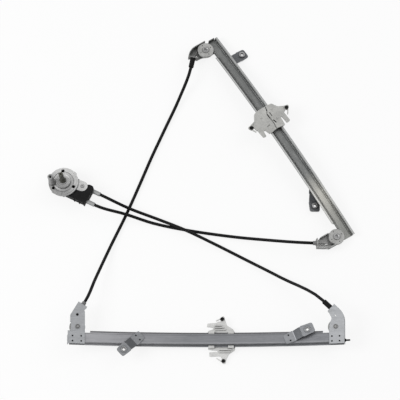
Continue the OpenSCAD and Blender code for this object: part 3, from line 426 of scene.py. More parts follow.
@dataclass(frozen=True)
class Stripe:
    """A stripe of tone between two parallel planes: a painted highlight along a lip, or painted shade on a
    wall, a fold or a slope.
    """

    lay: Matrix
    low: float
    high: float
    tone: Point
    amount: float = 0.8
    soft: float = 0.4
    axis: Point = (0, 1, 0)

    def line(self) -> tuple[Point, Point]:
        """Returns the stripe's middle, and a point one millimetre further across it."""
        middle = (self.low + self.high) / 2
        return tuple(tuple(self.lay @ (Vector(self.axis) * (middle + d) * MM)) for d in (0, 1))


@dataclass(frozen=True)
class Reads:
    """What a finish reads: the place on the piece, the place along its streaks, grain and patches."""

    place: Output
    along: Output
    skin: Output
    patch: Output


@dataclass(frozen=True)
class Tones:
    """A finish's name, its two tones, and its roughness where it is polished and where it is dull."""

    name: str
    light: Point
    dark: Point
    smooth: float
    dull: float


@dataclass(frozen=True, kw_only=True)
class Finish(Tones):
    """What every finish is made of. Each kind adds its own ground.

    The corner darkening has its amount, its reach in metres, and its tone as a share of the dark one; it is
    partly soiling and partly painted shade.
    """

    metallic: float = 0.0
    shine: float = 0.5
    grain: float = 1800.0
    softness: float = 0.5
    patches: float = 45.0
    depth: float = 0.00005
    dirt_and_shade: Point = (0.5, 0.004, 0.3)
    edge: float = 0.25
    dust_and_light_grades: tuple[DustAndLightGrade, ...] = ()
    stripes: tuple[Stripe, ...] = ()

    def along(self, sheet: NodeSheet, place: Output) -> Output:
        """Returns the place that the grain reads, which most kinds leave as it is."""
        return place

    def ground(self, sheet: NodeSheet, reads: Reads) -> Output:
        """Makes the colour under the dirt.

        Args:
            sheet: The material's sheet.
            reads: What it is made from.

        Returns:
            The colour.
        """
        raise NotImplementedError

    def edge_tone(self) -> Point:
        """Returns the tone painted along the edges."""
        raise NotImplementedError

    def roughness(self, sheet: NodeSheet, reads: Reads) -> Output:
        """Returns the roughness, which follows the broad patches."""
        return sheet.spread(reads.patch, 0.0, 1.0, self.smooth, self.dull)

    def painted(self, sheet: NodeSheet, reads: Reads, colour: Output) -> Output:
        """Lays the finish's graded layers and stripes over a colour: dust, a painted sheen, painted
        highlights and painted shade.

        Args:
            sheet: The material's sheet.
            reads: What they are made from.
            colour: The colour under them.

        Returns:
            The colour with them.
        """
        for grade in self.dust_and_light_grades:
            sway = sheet.spread(sheet.noise(reads.along, 60, 4, 0.65), 0.3, 0.7, -grade.ragged, grade.ragged)
            total = sheet.maths("ADD", sheet.along(reads.place, grade.start, grade.end), sway)
            colour = sheet.mixed(sheet.spread(total, 0.0, 1.0, 0.0, grade.amount), colour, grade.tone)
        for stripe in self.stripes:
            half = (stripe.high - stripe.low) / 2
            across = sheet.along(reads.place, *stripe.line())
            off = sheet.add("ShaderNodeMath", {0: across}, operation="ABSOLUTE").outputs[0]
            cover = sheet.spread(off, half, half + stripe.soft, stripe.amount, 0.0)
            colour = sheet.mixed(cover, colour, stripe.tone)
        return colour

    def build(self, effects: SharedEffects) -> bpy.types.Material:
        """Builds the material.

        Args:
            effects: The shared node groups.

        Returns:
            The material.
        """
        material = bpy.data.materials.new(self.name)
        material.use_nodes = True
        sheet = NodeSheet(material.node_tree)
        place = sheet.add("ShaderNodeTexCoord").outputs["Object"]
        along = self.along(sheet, place)
        skin = sheet.group(effects.grain, along, Scale=self.grain, Softness=self.softness)
        patch = sheet.group(effects.smudge, place, Scale=self.patches)
        reads = Reads(place, along, skin, patch)
        colour = self.ground(sheet, reads)
        # painted shade: corners and hollows darkened by ambient occlusion, where shade falls, mixed with
        # soiling
        amount, reach, share = self.dirt_and_shade
        dirt_and_shade_mask = sheet.group(effects.dirt_and_corner_shade, place, Amount=amount, Reach=reach)
        colour = sheet.mixed(dirt_and_shade_mask, colour, toned(self.dark, share))
        # painted edge light: edges get a pale painted highlight, partly rubbed metal, and on some sheets a
        # dark painted shade instead
        colour = sheet.mixed(sheet.group(effects.edge_wear_and_light, place, Amount=self.edge), colour, self.edge_tone())
        bump = sheet.add("ShaderNodeBump", {"Strength": 0.6, "Distance": self.depth, "Height": skin})
        shader = sheet.add(
            "ShaderNodeBsdfPrincipled",
            {
                "Metallic": self.metallic, "Specular IOR Level": self.shine, "Base Color": colour,
                "Roughness": self.roughness(sheet, reads), "Normal": bump.outputs["Normal"],
                **self.extras(),
            },
        )
        sheet.add("ShaderNodeOutputMaterial", {"Surface": shader.outputs["BSDF"]})
        return material

    def extras(self) -> dict[str, object]:
        """Returns the shader's other inputs, by name."""
        return {}


@dataclass(frozen=True, kw_only=True)
class SheetSteel(Finish):
    """Rolled and zinc-coated sheet: faint spangle, rolling streaks and dull patches, with its dust and
    painted light laid over them.
    """

    grain: float = 900.0
    softness: float = 0.6
    patches: float = 26.0
    depth: float = 0.00006
    dirt_and_shade: Point = (0.75, 0.0045, 0.22)
    edge: float = 0.8
    # painted highlight: the pale tone painted along the edges, partly rubbed metal
    rim: Point = (0.80, 0.80, 0.79)
    streak_turn: float = 0.0
    streak_length: float = 16.0
    spangle: float = 0.25
    spangle_scale: float = 150.0
    stain: float = 0.35

    def along(self, sheet: NodeSheet, place: Output) -> Output:
        """Returns the place, stretched along the rolling streaks."""
        turn = (0, 0, math.radians(self.streak_turn))
        streak = {"Vector": place, "Rotation": turn, "Scale": (self.streak_length, 1, 1)}
        return sheet.add("ShaderNodeMapping", streak, vector_type="TEXTURE").outputs["Vector"]

    def ground(self, sheet: NodeSheet, reads: Reads) -> Output:
        """Makes the streaks, the spangle and the tarnish. Returns their colour."""
        flowers = {"Vector": reads.place, "Scale": self.spangle_scale}
        cells = sheet.add("ShaderNodeTexVoronoi", flowers, feature="F1")
        grey = sheet.add("ShaderNodeRGBToBW", {"Color": cells.outputs["Color"]}).outputs["Val"]
        colour = sheet.mixed(sheet.spread(reads.skin, 0.3, 0.7), self.dark, self.light)
        colour = sheet.mixed(sheet.spread(grey, 0.2, 0.8, 0.0, self.spangle), colour, self.light)
        colour = self.painted(sheet, reads, colour)
        spots = sheet.spread(sheet.noise(reads.along, 170, 5, 0.7), 0.42, 0.66, 0.0, self.stain)
        tarnish = sheet.maths("MULTIPLY", sheet.spread(reads.patch, 0.0, 1.0, 0.25, 1.0), spots)
        return sheet.mixed(tarnish, colour, toned(self.dark, 0.45))

    def edge_tone(self) -> Point:
        """Returns the tone painted along the edges: by default a pale painted highlight, partly rubbed
        metal; on the bracket and mount sheets a dark painted shade.
        """
        return self.rim


@dataclass(frozen=True, kw_only=True)
class CastMetal(Finish):
    """Die-cast or turned metal: a fine even skin with small pits, and paler edges that are partly rubbed
    metal and partly painted highlight.
    """

    grain: float = 1400.0
    softness: float = 0.7
    patches: float = 70.0
    depth: float = 0.00008
    dirt_and_shade: Point = (0.8, 0.004, 0.2)
    edge: float = 0.7

    def ground(self, sheet: NodeSheet, reads: Reads) -> Output:
        """Makes the pitted skin and its dull patches. Returns their colour."""
        colour = sheet.mixed(sheet.spread(reads.skin, 0.35, 0.65), self.dark, self.light)
        colour = sheet.mixed(sheet.spread(reads.patch, 0.0, 1.0, 0.0, 0.3), colour, self.dark)
        return self.painted(sheet, reads, colour)

    def edge_tone(self) -> Point:
        """Returns the paler tone along the edges, partly rubbed metal and partly painted highlight."""
        return toned(self.light, 1.1, 0.2, 0.86)

    def roughness(self, sheet: NodeSheet, reads: Reads) -> Output:
        """Returns the roughness, which follows the pits."""
        return sheet.spread(reads.skin, 0.3, 0.7, self.smooth, self.dull)


@dataclass(frozen=True, kw_only=True)
class MouldedPlastic(Finish):
    """Moulded plastic or rubber: a fine spark-eroded grain, a little dust with painted shade in its hollows,
    and paler edges that are partly rubbed and partly painted highlight.
    """

    glow: float = 0.0
    glow_reach: float = 0.003

    def ground(self, sheet: NodeSheet, reads: Reads) -> Output:
        """Makes the two tones of the plastic. Returns their colour."""
        return sheet.mixed(sheet.spread(reads.patch, 0.0, 1.0), self.dark, self.light)

    def edge_tone(self) -> Point:
        """Returns the paler tone along the edges, partly rubbed and partly painted highlight."""
        return toned(self.light, 1.05, 0.12, 0.9)

    def extras(self) -> dict[str, object]:
        """Returns the inputs that let light into the plastic, if any gets in."""
        if self.glow == 0:
            return {}
        return {
            "Subsurface Weight": self.glow,
            "Subsurface Radius": (1.0, 1.0, 1.0),
            "Subsurface Scale": self.glow_reach,
        }


class FinishRack:
    """All the finishes of the regulator, made once."""

    def __init__(self) -> None:
        """Builds every material."""
        effects = SharedEffects()
        kinds = {**self._rails(), **self._sheets(), **self._metals(), **self._plastics()}
        self.materials = {key: finish.build(effects) for key, finish in kinds.items()}

    @staticmethod
    def _rails() -> dict[str, Finish]:
        """Returns the two rails' sheet, with painted highlights on the lips, painted shade on the walls and
        folds, dust on rail B and a painted sheen on rail A.
        """
        # painted light: bright is a painted highlight for the lips, shadow and bend are painted shade for
        # the walls and folds
        bright, shadow, bend = (0.58, 0.585, 0.58), (0.035, 0.037, 0.037), (0.10, 0.10, 0.105)
        return {
            "rail_a": SheetSteel(
                "Rail sheet A", (0.27, 0.275, 0.29), (0.20, 0.205, 0.22), 0.36, 0.52, metallic=0.7, edge=0.4,
                # painted sheen: rail A paler towards its left end, standing in for light along its curved
                # web
                dust_and_light_grades=(DustAndLightGrade((-0.02, 0, 0), (-0.24, 0, 0), (0.48, 0.48, 0.50), 0.9, 0.15),),
                # painted shade along a wall and a fold on one side, and a painted highlight along the other
                # lip
                stripes=(
                    Stripe(RAIL_A.lay, 9.2, 14.5, bend, 0.75),
                    Stripe(RAIL_A.lay, 6.7, 7.2, bend, 0.6, 0.5),
                    Stripe(RAIL_A.lay, -8.6, -7.4, (0.40, 0.40, 0.42), 0.5, 0.6),
                ),
            ),
            "rail_b": SheetSteel(
                "Rail sheet B", (0.24, 0.245, 0.24), (0.14, 0.145, 0.145), 0.34, 0.5, metallic=0.7,
                streak_turn=RAIL_B_TURN, stain=0.3, edge=0.3,
                dust_and_light_grades=(
                    DustAndLightGrade((0.200, 0.05, 0.02), (0.224, 0.010, 0.01), (0.58, 0.57, 0.52), 0.8, 0.12),
                    DustAndLightGrade((0.232, 0.0, 0.01), (0.262, -0.05, 0.01), (0.24, 0.245, 0.235), 0.85, 0.1),
                ),
                # painted highlights on both lips, and painted shade on the walls and in a hairline beside
                # one lip
                stripes=(
                    Stripe(RAIL_B.lay, 11.4, 13.2, bright), Stripe(RAIL_B.lay, -13.4, -11.2, bright),
                    Stripe(RAIL_B.lay, 9.4, 10.3, shadow), Stripe(RAIL_B.lay, -10.3, -9.4, shadow),
                    Stripe(RAIL_B.lay, -12.7, -12.3, shadow, 0.7, 0.25),
                ),
            ),
        }

    @staticmethod
    def _sheets() -> dict[str, Finish]:
        """Returns the pressed brackets' and mounts' sheet."""
        # painted shade: bend is a dark stripe across each mount's slope, and rim a dark tone painted along
        # the mounts' edges
        bend, rim, across = (0.045, 0.048, 0.053), (0.06, 0.062, 0.066), (1, 0, 0)
        return {
            "bracket": SheetSteel(
                "Bracket sheet", (0.46, 0.47, 0.485), (0.36, 0.37, 0.385), 0.38, 0.55, metallic=0.65,
                # painted shade: a dark tone painted along the bracket's edges, standing in for its rim walls
                # in shadow
                rim=(0.10, 0.105, 0.11), edge=0.9,
            ),
            "used": SheetSteel(
                "Greased bracket sheet", (0.20, 0.20, 0.195), (0.10, 0.105, 0.10), 0.34, 0.55, metallic=0.6,
                streak_turn=20, stain=0.6,
            ),
            "worn": SheetSteel(
                "Worn bracket sheet", (0.36, 0.36, 0.355), (0.22, 0.225, 0.22), 0.34, 0.55, metallic=0.6,
                streak_turn=20, stain=0.4,
            ),
            "dark": SheetSteel(
                "Phosphated sheet", (0.15, 0.155, 0.165), (0.09, 0.095, 0.10), 0.42, 0.6, metallic=0.5
            ),
            "mount_top": SheetSteel(
                "Mount sheet", (0.33, 0.34, 0.355), (0.24, 0.245, 0.26), 0.40, 0.58, metallic=0.6,
                edge=0.9, rim=rim,
                stripes=(Stripe(MOUNTS["a_top"].lay(), 11, 23, bend, 0.9, 1.0, across),),
            ),
            "mount_bottom": SheetSteel(
                "Lower mount sheet", (0.30, 0.31, 0.32), (0.22, 0.225, 0.24), 0.40, 0.58, metallic=0.6,
                edge=0.9, rim=rim,
                stripes=(Stripe(MOUNTS["a_bottom"].lay(), 11, 25, bend, 0.8, 1.0, across),),
            ),
        }

    @staticmethod
    def _metals() -> dict[str, Finish]:
        """Returns the cast, plated and drawn metals."""
        # painted shade: the flange darker towards its lower left, where less light falls
        painted_shade_side = DustAndLightGrade((-0.2533, 0.0402, 0.03), (-0.2693, 0.0162, 0.03), (0.24, 0.24, 0.24), 0.8, 0.12)
        return {
            "cast": CastMetal(
                "Die-cast zinc", (0.64, 0.64, 0.635), (0.46, 0.46, 0.455), 0.36, 0.52, metallic=0.5,
                dust_and_light_grades=(painted_shade_side,),
            ),
            "bright": CastMetal(
                "Plated steel", (0.40, 0.40, 0.40), (0.24, 0.24, 0.24), 0.25, 0.42, metallic=0.8, grain=2500
            ),
            "drawn": CastMetal(
                "Drawn aluminium", (0.36, 0.365, 0.365), (0.26, 0.265, 0.265), 0.5, 0.62, metallic=0.3,
                grain=2600,
            ),
            "olive": CastMetal(
                "Oiled shaft steel", (0.10, 0.10, 0.085), (0.05, 0.05, 0.038), 0.3, 0.45, metallic=0.7
            ),
            "wire": CastMetal(
                "Stranded wire", (0.30, 0.30, 0.30), (0.12, 0.12, 0.12), 0.35, 0.5, metallic=0.8, grain=3200
            ),
        }

    @staticmethod
    def _plastics() -> dict[str, Finish]:
        """Returns the plastics, the rubber and the near-black fill that paints shade into hollows."""
        milky = {"grain": 900, "glow": 0.15, "edge": 0.2}
        return {
            # painted shade: a near-black fill set into clinches, a hole, rings and dimples where shade falls
            "pit": MouldedPlastic(
                "Dry grease", (0.012, 0.012, 0.012), (0.006, 0.006, 0.006), 0.6, 0.8, grain=2400,
                depth=0.00004, shine=0.1,
            ),
            "black": MouldedPlastic(
                "Black plastic", (0.012, 0.012, 0.013), (0.005, 0.005, 0.005), 0.42, 0.6, shine=0.12
            ),
            "rubber": MouldedPlastic(
                "Black rubber", (0.010, 0.010, 0.010), (0.006, 0.006, 0.006), 0.6, 0.8, grain=1200,
                depth=0.0001, edge=0.15, shine=0.12,
            ),
            "sheath": MouldedPlastic(
                "Sheath skin", (0.005, 0.005, 0.0055), (0.003, 0.003, 0.003), 0.42, 0.6, grain=700,
                depth=0.00004, edge=0.05, shine=0.15,
            ),
            "milky": MouldedPlastic(
                "Milky nylon", (0.74, 0.74, 0.73), (0.62, 0.62, 0.61), 0.38, 0.5, dirt_and_shade=(0.8, 0.004, 0.3),
                **milky,
            ),
            "milky_b": MouldedPlastic(
                "Milky nylon in shade", (0.52, 0.52, 0.50), (0.41, 0.41, 0.395), 0.38, 0.5,
                dirt_and_shade=(0.9, 0.004, 0.3), **milky,
            ),
            "pulley": MouldedPlastic("Pulley nylon", (0.50, 0.50, 0.49), (0.37, 0.37, 0.36), 0.38, 0.55),
            "ivory": MouldedPlastic("Drum nylon", (0.62, 0.60, 0.54), (0.50, 0.48, 0.43), 0.4, 0.55),
            "grey": MouldedPlastic("Plug nylon", (0.22, 0.22, 0.22), (0.15, 0.15, 0.15), 0.4, 0.55),
        }

    def dress(self, piece: bpy.types.Object, key: str) -> None:
        """Gives a piece one finish.

        Args:
            piece: The object.
            key: The finish's name on the rack.
        """
        slots = piece.data.materials
        if len(slots) == 0:
            slots.append(self.materials[key])
        for index in range(len(slots)):
            slots[index] = self.materials[key]


# Sub-assemblies


@dataclass
class Studio:
    """The floor, the light and the camera."""

    focal_mm: float = 950.0
    sensor_mm: float = 36.0
    elevation: float = 70.0
    width_m: float = 0.76
    aim: Point = (-0.0021, 0.0017, 0.0)
    floor_half: float = 6.0
    paper_tone: float = 0.92
    white_share: float = 0.84
    ambient: float = 0.55
    lit: float = 1.2
    shade: float = 0.25
    lit_side: Point = (-0.5, 0.2, 0.85)
    shade_side: Point = (0.6, -0.5, 0.45)

    def build(self) -> None:
        """Sets up the camera, then the floor and the lamps."""
        self._camera()
        self._floor()
        self._world()
        self._lamps()

    def _camera(self) -> None:
        """Places the camera on the photo's line of sight."""
        data = bpy.data.cameras.new("Camera")
        data.lens = self.focal_mm
        data.sensor_width = self.sensor_mm
        reach = self.width_m * self.focal_mm / self.sensor_mm
        data.clip_start = 0.1
        data.clip_end = reach * 3
        camera = placed("Camera", data)
        rise = math.radians(self.elevation)
        away = Vector((0, -math.cos(rise), math.sin(rise)))
        camera.location = Vector(self.aim) + away * reach
        camera.rotation_euler = (math.radians(90 - self.elevation), 0, 0)
        bpy.context.scene.camera = camera

    def _floor(self) -> None:
        """Lays a pale floor that shows near white and keeps the shadows."""
        mesh = bpy.data.meshes.new("Floor")
        half = self.floor_half
        corners = [(-half, -half, 0), (half, -half, 0), (half, half, 0), (-half, half, 0)]
        mesh.from_pydata(corners, [], [(0, 1, 2, 3)])
        floor = placed("Floor", mesh)
        material = bpy.data.materials.new("Floor paper")
        material.use_nodes = True
        sheet = NodeSheet(material.node_tree)
        path = sheet.add("ShaderNodeLightPath")
        tone = self.paper_tone
        paper = sheet.add("ShaderNodeBsdfDiffuse", {"Color": (tone, tone, tone, 1)})
        bright = sheet.add("ShaderNodeEmission", {"Color": WHITE, "Strength": 1.0})
        seen = sheet.maths("MULTIPLY", path.outputs["Is Camera Ray"], self.white_share)
        mix = sheet.add(
            "ShaderNodeMixShader", {"Fac": seen, 1: paper.outputs["BSDF"], 2: bright.outputs["Emission"]}
        )
        sheet.add("ShaderNodeOutputMaterial", {"Surface": mix.outputs["Shader"]})
        mesh.materials.append(material)

    def _world(self) -> None:
        """Lights the scene softly from all round, shows white to the camera and a soft box to metal."""
        world = bpy.data.worlds.new("Studio")
        bpy.context.scene.world = world
        world.use_nodes = True
        sheet = NodeSheet(world.node_tree)
        rays = sheet.add("ShaderNodeLightPath").outputs
        way = sheet.add("ShaderNodeTexCoord").outputs["Generated"]
        box = sheet.spread(sheet.along(way, self.shade_side, self.lit_side), 0, 1, self.shade, self.lit)
        glossy = sheet.maths("MULTIPLY", rays["Is Glossy Ray"], box)
        soft = sheet.spread(rays["Is Glossy Ray"], 0, 1, self.ambient, 0)
        strength = sheet.maths("MAXIMUM", soft, glossy, rays["Is Camera Ray"], rays["Is Transmission Ray"])
        glow = sheet.add("ShaderNodeBackground", {"Color": WHITE, "Strength": strength})
        sheet.add("ShaderNodeOutputWorld", {"Surface": glow.outputs["Background"]})

    def _lamps(self) -> None:
        """Hangs a broad key lamp and a weaker one across from it."""
        for name, place, size, watts in (
            ("Key", (-2.0, -0.3, 1.7), 1.2, 30.0),
            ("Fill", (1.7, 0.9, 1.5), 1.6, 12.0),
        ):
            data = bpy.data.lights.new(name, "AREA")
            data.size = size
            data.energy = watts
            lamp = placed(name, data)
            lamp.location = place
            lamp.rotation_euler = (-Vector(place)).to_track_quat("-Z", "Y").to_euler()


@dataclass
class CableRun:
    """The three sheathed runs of the cable, from the winder and between the rails."""

    thickness: float = 6.0
    bore: float = 5.0
    steps: int = 5
    boot_length: float = 20.0
    plug_length: float = 7.0
    ferrule_length: float = 17.5
    socket: float = 10.0
    plug_socket: float = 5.0
    lead_out: float = 2.0
    ferrule_at: Point = (55.0, 11.5, -10.6)
    horn_at: Pair = (-13.0, 31.8)
    horn_turn: float = 45.0
    horn_radius: float = 21.0
    arm_at: Pair = (2.5, 42.0)
    slant: float = 31.0
    routes: dict[str, list[Point]] = field(
        default_factory=lambda: {
            "sheath_a": [
                (-137, -20, 13), (-81, -40, 6), (-31, -62, 9), (25, -89, 5), (86, -121, 3), (150, -158, 10),
            ],
            "sheath_b": [(-142, -32, 12), (-91, -47, 4), (-31, -60, 3), (38, -71, 3), (97, -79, 6)],
            "sheath_c": [
                (-200, -164, 20), (-172, -95, 6), (-142, -29, 3), (-116, 33, 3), (-94, 87, 3),
                (-68, 146, 3), (-43, 201, 8),
            ],
        }
    )

    @staticmethod
    def seat_off(place: Matrix, seat: Pair, turn: float, out: float) -> Vector:
        """Finds a point in front of a sheath's seat.

        Args:
            place: The matrix of the pulley's place.
            seat: The seat's x and y there, in millimetres.
            turn: The seat's turn in degrees.
            out: Distance out of the seat, in millimetres.

        Returns:
            The point in the frame.
        """
        angle = math.radians(turn)
        x = seat[0] - out * math.sin(angle)
        y = seat[1] + out * math.cos(angle)
        return place @ Vector((x * MM, y * MM, WIRE_HEIGHT * MM))

    def top_seat(self, rail: Bow) -> Pair:
        """Returns the place of the seat on a rail's top bracket, at the end of its horn."""
        angle = math.radians(self.horn_turn)
        across, on = (math.cos(angle), math.sin(angle)), (-math.sin(angle), math.cos(angle))
        return tuple(self.horn_at[i] + self.horn_radius * across[i] + rail.top_reach * on[i] for i in (0, 1))

    def low_seat(self, rail: Bow) -> Pair:
        """Returns the place of the seat on the slanted arm of a rail's bottom bracket."""
        angle = math.radians(self.slant)
        x, y = self.arm_at
        return (x - rail.low_reach * math.sin(angle), y + rail.low_reach * math.cos(angle))

    def ends(self) -> dict[str, tuple[list[Vector], list[Vector]]]:
        """Finds both ends of each sheath.

        Returns:
            For each sheath, the bottom of its socket and the mouth, at its start and at its end.
        """

        def ferrule(side: int) -> list[Vector]:
            x, y, z = self.ferrule_at
            stops = (self.ferrule_length - self.socket, self.ferrule_length + self.lead_out)
            return [WINDER @ Vector(((x + d) * MM, side * y * MM, z * MM)) for d in stops]

        def top(rail: Bow) -> list[Vector]:
            stops = (self.boot_length - self.socket, self.boot_length + self.lead_out)
            return [self.seat_off(rail.top(), self.top_seat(rail), self.horn_turn, d) for d in stops]

        def low(rail: Bow) -> list[Vector]:
            stops = (self.plug_length - self.plug_socket, self.plug_length + self.lead_out)
            return [self.seat_off(rail.bottom(), self.low_seat(rail), self.slant, d) for d in stops]

        return {
            "sheath_a": (ferrule(1), top(RAIL_A)),
            "sheath_b": (ferrule(-1), low(RAIL_B)),
            "sheath_c": (low(RAIL_A), top(RAIL_B)),
        }

    def course(self, name: str) -> list[Vector]:
        """Finds the smooth line that a sheath follows.

        Args:
            name: The sheath's node.

        Returns:
            Points from the bottom of one socket to the bottom of the other.
        """
        start, end = self.ends()[name]
        lift = Vector((0, 0, (self.thickness - self.bore) / 2))
        points = [start[1], *((Vector(p) + lift) * MM for p in self.routes[name]), end[1]]
        ways = [start[1] - start[0], *(q - p for p, q in zip(points, points[2:])), end[0] - end[1]]
        heads = [way.normalized() for way in ways]
        line = [start[0]]
        for p, q, leave, arrive in zip(points, points[1:], heads, heads[1:]):
            reach = (q - p).length
            for j in range(self.steps):
                t = j / self.steps
                line.append(
                    (2 * t**3 - 3 * t**2 + 1) * p
                    + (t**3 - 2 * t**2 + t) * reach * leave
                    + (3 * t**2 - 2 * t**3) * q
                    + (t**3 - t**2) * reach * arrive
                )
        return [*line, end[1], end[0]]

    def build(self, rack: FinishRack) -> None:
        """Args:
            rack: The finishes.
        """
        for name in self.routes:
            line = self.course(name)
            curve = poly_line(f"{name}_cord", line)
            curve.bevel_depth = self.thickness / 2 * MM
            curve.bevel_resolution = 4
            curve.use_fill_caps = True
            for index in (0, -1):
                curve.splines[0].points[index].radius = self.bore / self.thickness
            piece = placed(f"{name}_cord", curve)
            rack.dress(piece, "sheath")
            length = sum((b - a).length for a, b in zip(line, line[1:]))
            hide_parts(name)
            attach(piece, "frame")
            tuple(line[0])
            LOG.info("%s: %.0f mm long", name, length / MM)


class TreeSheet(GroupSheet):
    """A geometry tree with named inputs, from a first geometry to a last one."""

    def __init__(self, name: str, inputs: dict[str, tuple[Socket, object]]) -> None:
        """Makes the tree.

        Args:
            name: The tree's name.
            inputs: Kind and default of each input but the geometry and the material, by name.
        """
        geometry, material = {"Geometry": (Socket.GEOMETRY, None)}, {"Material": (Socket.MATERIAL, None)}
        output = ("Geometry", Socket.GEOMETRY)
        super().__init__(name, "GeometryNodeTree", {**geometry, **inputs, **material}, output)
        self.tree.is_modifier = True

    def ended(self, value: Output) -> bpy.types.NodeTree:
        """Ends the tree in real meshes with their material. Returns the tree."""
        real = self.add("GeometryNodeRealizeInstances", {"Geometry": value}).outputs["Geometry"]
        dress = {"Geometry": real, "Material": self.source["Material"]}
        return super().ended(self.add("GeometryNodeSetMaterial", dress).outputs["Geometry"])


def grown(
    name: str, base: bpy.types.ID, tree: bpy.types.NodeTree, values: dict[str, object]
) -> bpy.types.Object:
    """Runs a geometry tree on a piece and keeps the result as a plain mesh.

    Args:
        name: The finished piece's name.
        base: The curve or mesh that the tree starts from.
        tree: The geometry tree.
        values: Its inputs, by name.

    Returns:
        The finished piece.
    """
    carrier = placed(f"{name}_base", base)
    growth = carrier.modifiers.new("Growth", "NODES")
    growth.node_group = tree
    for item in tree.interface.items_tree:
        if item.item_type == "SOCKET" and item.in_out == "INPUT" and item.name in values:
            growth[item.identifier] = values[item.name]
    bpy.context.view_layer.update()
    depsgraph = bpy.context.evaluated_depsgraph_get()
    mesh = bpy.data.meshes.new_from_object(carrier.evaluated_get(depsgraph), depsgraph=depsgraph)
    mesh.name = name
    bpy.data.objects.remove(carrier, do_unlink=True)
    LOG.info("%s: %d faces", name, len(mesh.polygons))
    return placed(name, mesh)


@dataclass
class InnerWire:
    """The stranded wire that shows along each rail, round its pulleys and into its sheaths."""

    thickness: float = 1.5
    strands: int = 6
    strands_across: int = 3
    overlap: float = 1.02
    lay_length: float = 11.0
    step: float = 1.2
    offset: float = 6.4
    pulley_radius: float = 13.4
    arc_steps: int = 24
    rail_steps: int = 40

    def round_pulley(self, seat: Pair) -> list[Pair]:
        """Finds the wire's line round one pulley.

        Args:
            seat: The sheath's seat, in the pulley place's own axes.

        Returns:
            Points from the rail to the seat, in millimetres.
        """
        radius, middle = self.pulley_radius, self.offset + self.pulley_radius
        x, y = seat[0], seat[1] - middle
        lead = math.atan2(y, x) + math.asin(radius / math.hypot(x, y))
        turns = [k * lead / self.arc_steps - math.pi / 2 for k in range(self.arc_steps + 1)]
        return [*((radius * math.cos(a), middle + radius * math.sin(a)) for a in turns), seat]

    def course(self, rail: Bow, low: Pair, high: Pair) -> list[Vector]:
        """Finds a rail's whole wire.

        Args:
            rail: The rail.
            low: The bottom seat.
            high: The top seat.

        Returns:
            Points from the bottom seat to the top one, in metres.
        """

        def place(at: Matrix, p: Pair) -> Vector:
            return at @ Vector((p[0] * MM, p[1] * MM, WIRE_HEIGHT * MM))

        n = self.rail_steps
        line = [place(rail.bottom(), p) for p in reversed(self.round_pulley(low))]
        line += [place(rail.at(rail.span * (i / n - 0.5)), (0, self.offset)) for i in range(1, n)]
        return line + [place(rail.top(), p) for p in self.round_pulley(high)]

    @staticmethod
    def tree() -> bpy.types.NodeTree:
        """Builds the tree that lays strands round a line. Returns it."""
        sheet = TreeSheet(
            "Stranded wire",
            {
                "Strands": (Socket.COUNT, 6),
                "Strand radius": (Socket.NUMBER, 0.00025),
                "Lay radius": (Socket.NUMBER, 0.0005),
                "Turn per metre": (Socket.NUMBER, 570.0),
                "Step": (Socket.NUMBER, 0.0012),
            },
        )
        read = sheet.source
        steps = {"Curve": read["Geometry"], "Length": read["Step"]}
        line = sheet.add("GeometryNodeResampleCurve", steps, mode="LENGTH").outputs["Curve"]
        spot = sheet.add("GeometryNodeSplineParameter").outputs["Length"]
        tilt = sheet.maths("MULTIPLY", spot, read["Turn per metre"])
        twisted = sheet.add("GeometryNodeSetCurveTilt", {"Curve": line, "Tilt": tilt}).outputs["Curve"]
        lay, strand = (
            sheet.add("GeometryNodeCurvePrimitiveCircle", size).outputs["Curve"]
            for size in (
                {"Resolution": read["Strands"], "Radius": read["Lay radius"]},
                {"Resolution": 6, "Radius": read["Strand radius"]},
            )
        )
        each = sheet.add("GeometryNodeInstanceOnPoints", {"Points": lay, "Instance": strand})
        profile = sheet.add("GeometryNodeRealizeInstances", {"Geometry": each.outputs["Instances"]})
        sweep = {"Curve": twisted, "Profile Curve": profile.outputs["Geometry"], "Fill Caps": True}
        return sheet.ended(sheet.add("GeometryNodeCurveToMesh", sweep).outputs["Mesh"])

    def build(self, rack: FinishRack, cables: CableRun) -> None:
        """Makes the two wires.

        Args:
            rack: The finishes.
            cables: The sheathed runs, which know the seats.
        """
        strand = self.thickness / 2 / self.strands_across
        values = {
            "Strands": self.strands,
            "Strand radius": strand * self.overlap * MM,
            "Lay radius": (self.thickness / 2 - strand) * MM,
            "Turn per metre": 2 * math.pi / (self.lay_length * MM),
            "Step": self.step * MM,
            "Material": rack.materials["wire"],
        }
        tree = self.tree()
        for name, rail in (("wire_a", RAIL_A), ("wire_b", RAIL_B)):
            line = self.course(rail, cables.low_seat(rail), cables.top_seat(rail))
            piece = grown(f"{name}_strands", poly_line(f"{name}_line", line), tree, values)
            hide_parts(name)
            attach(piece, "frame")


@dataclass(frozen=True)
class Mark:
    """One kind of small form and where it repeats: a disc, or a ring or thread if it has turns.

    The depth is a disc's height or the radius of a ring's section.
    """

    name: str
    finish: str
    places: Sequence[Matrix]
    radius: float
    depth: float
    turns: float = 0.0
    height: float = 0.0
    body: str = "frame"

    def sizes(self) -> dict[str, float]:
        """Returns the inputs of the form's tree."""
        if self.turns == 0:
            return {"Radius": self.radius * MM, "Height": self.depth * MM}
        return {
            "Radius": self.radius * MM, "Thickness": self.depth * MM,
            "Turns": self.turns, "Height": self.height * MM,
        }


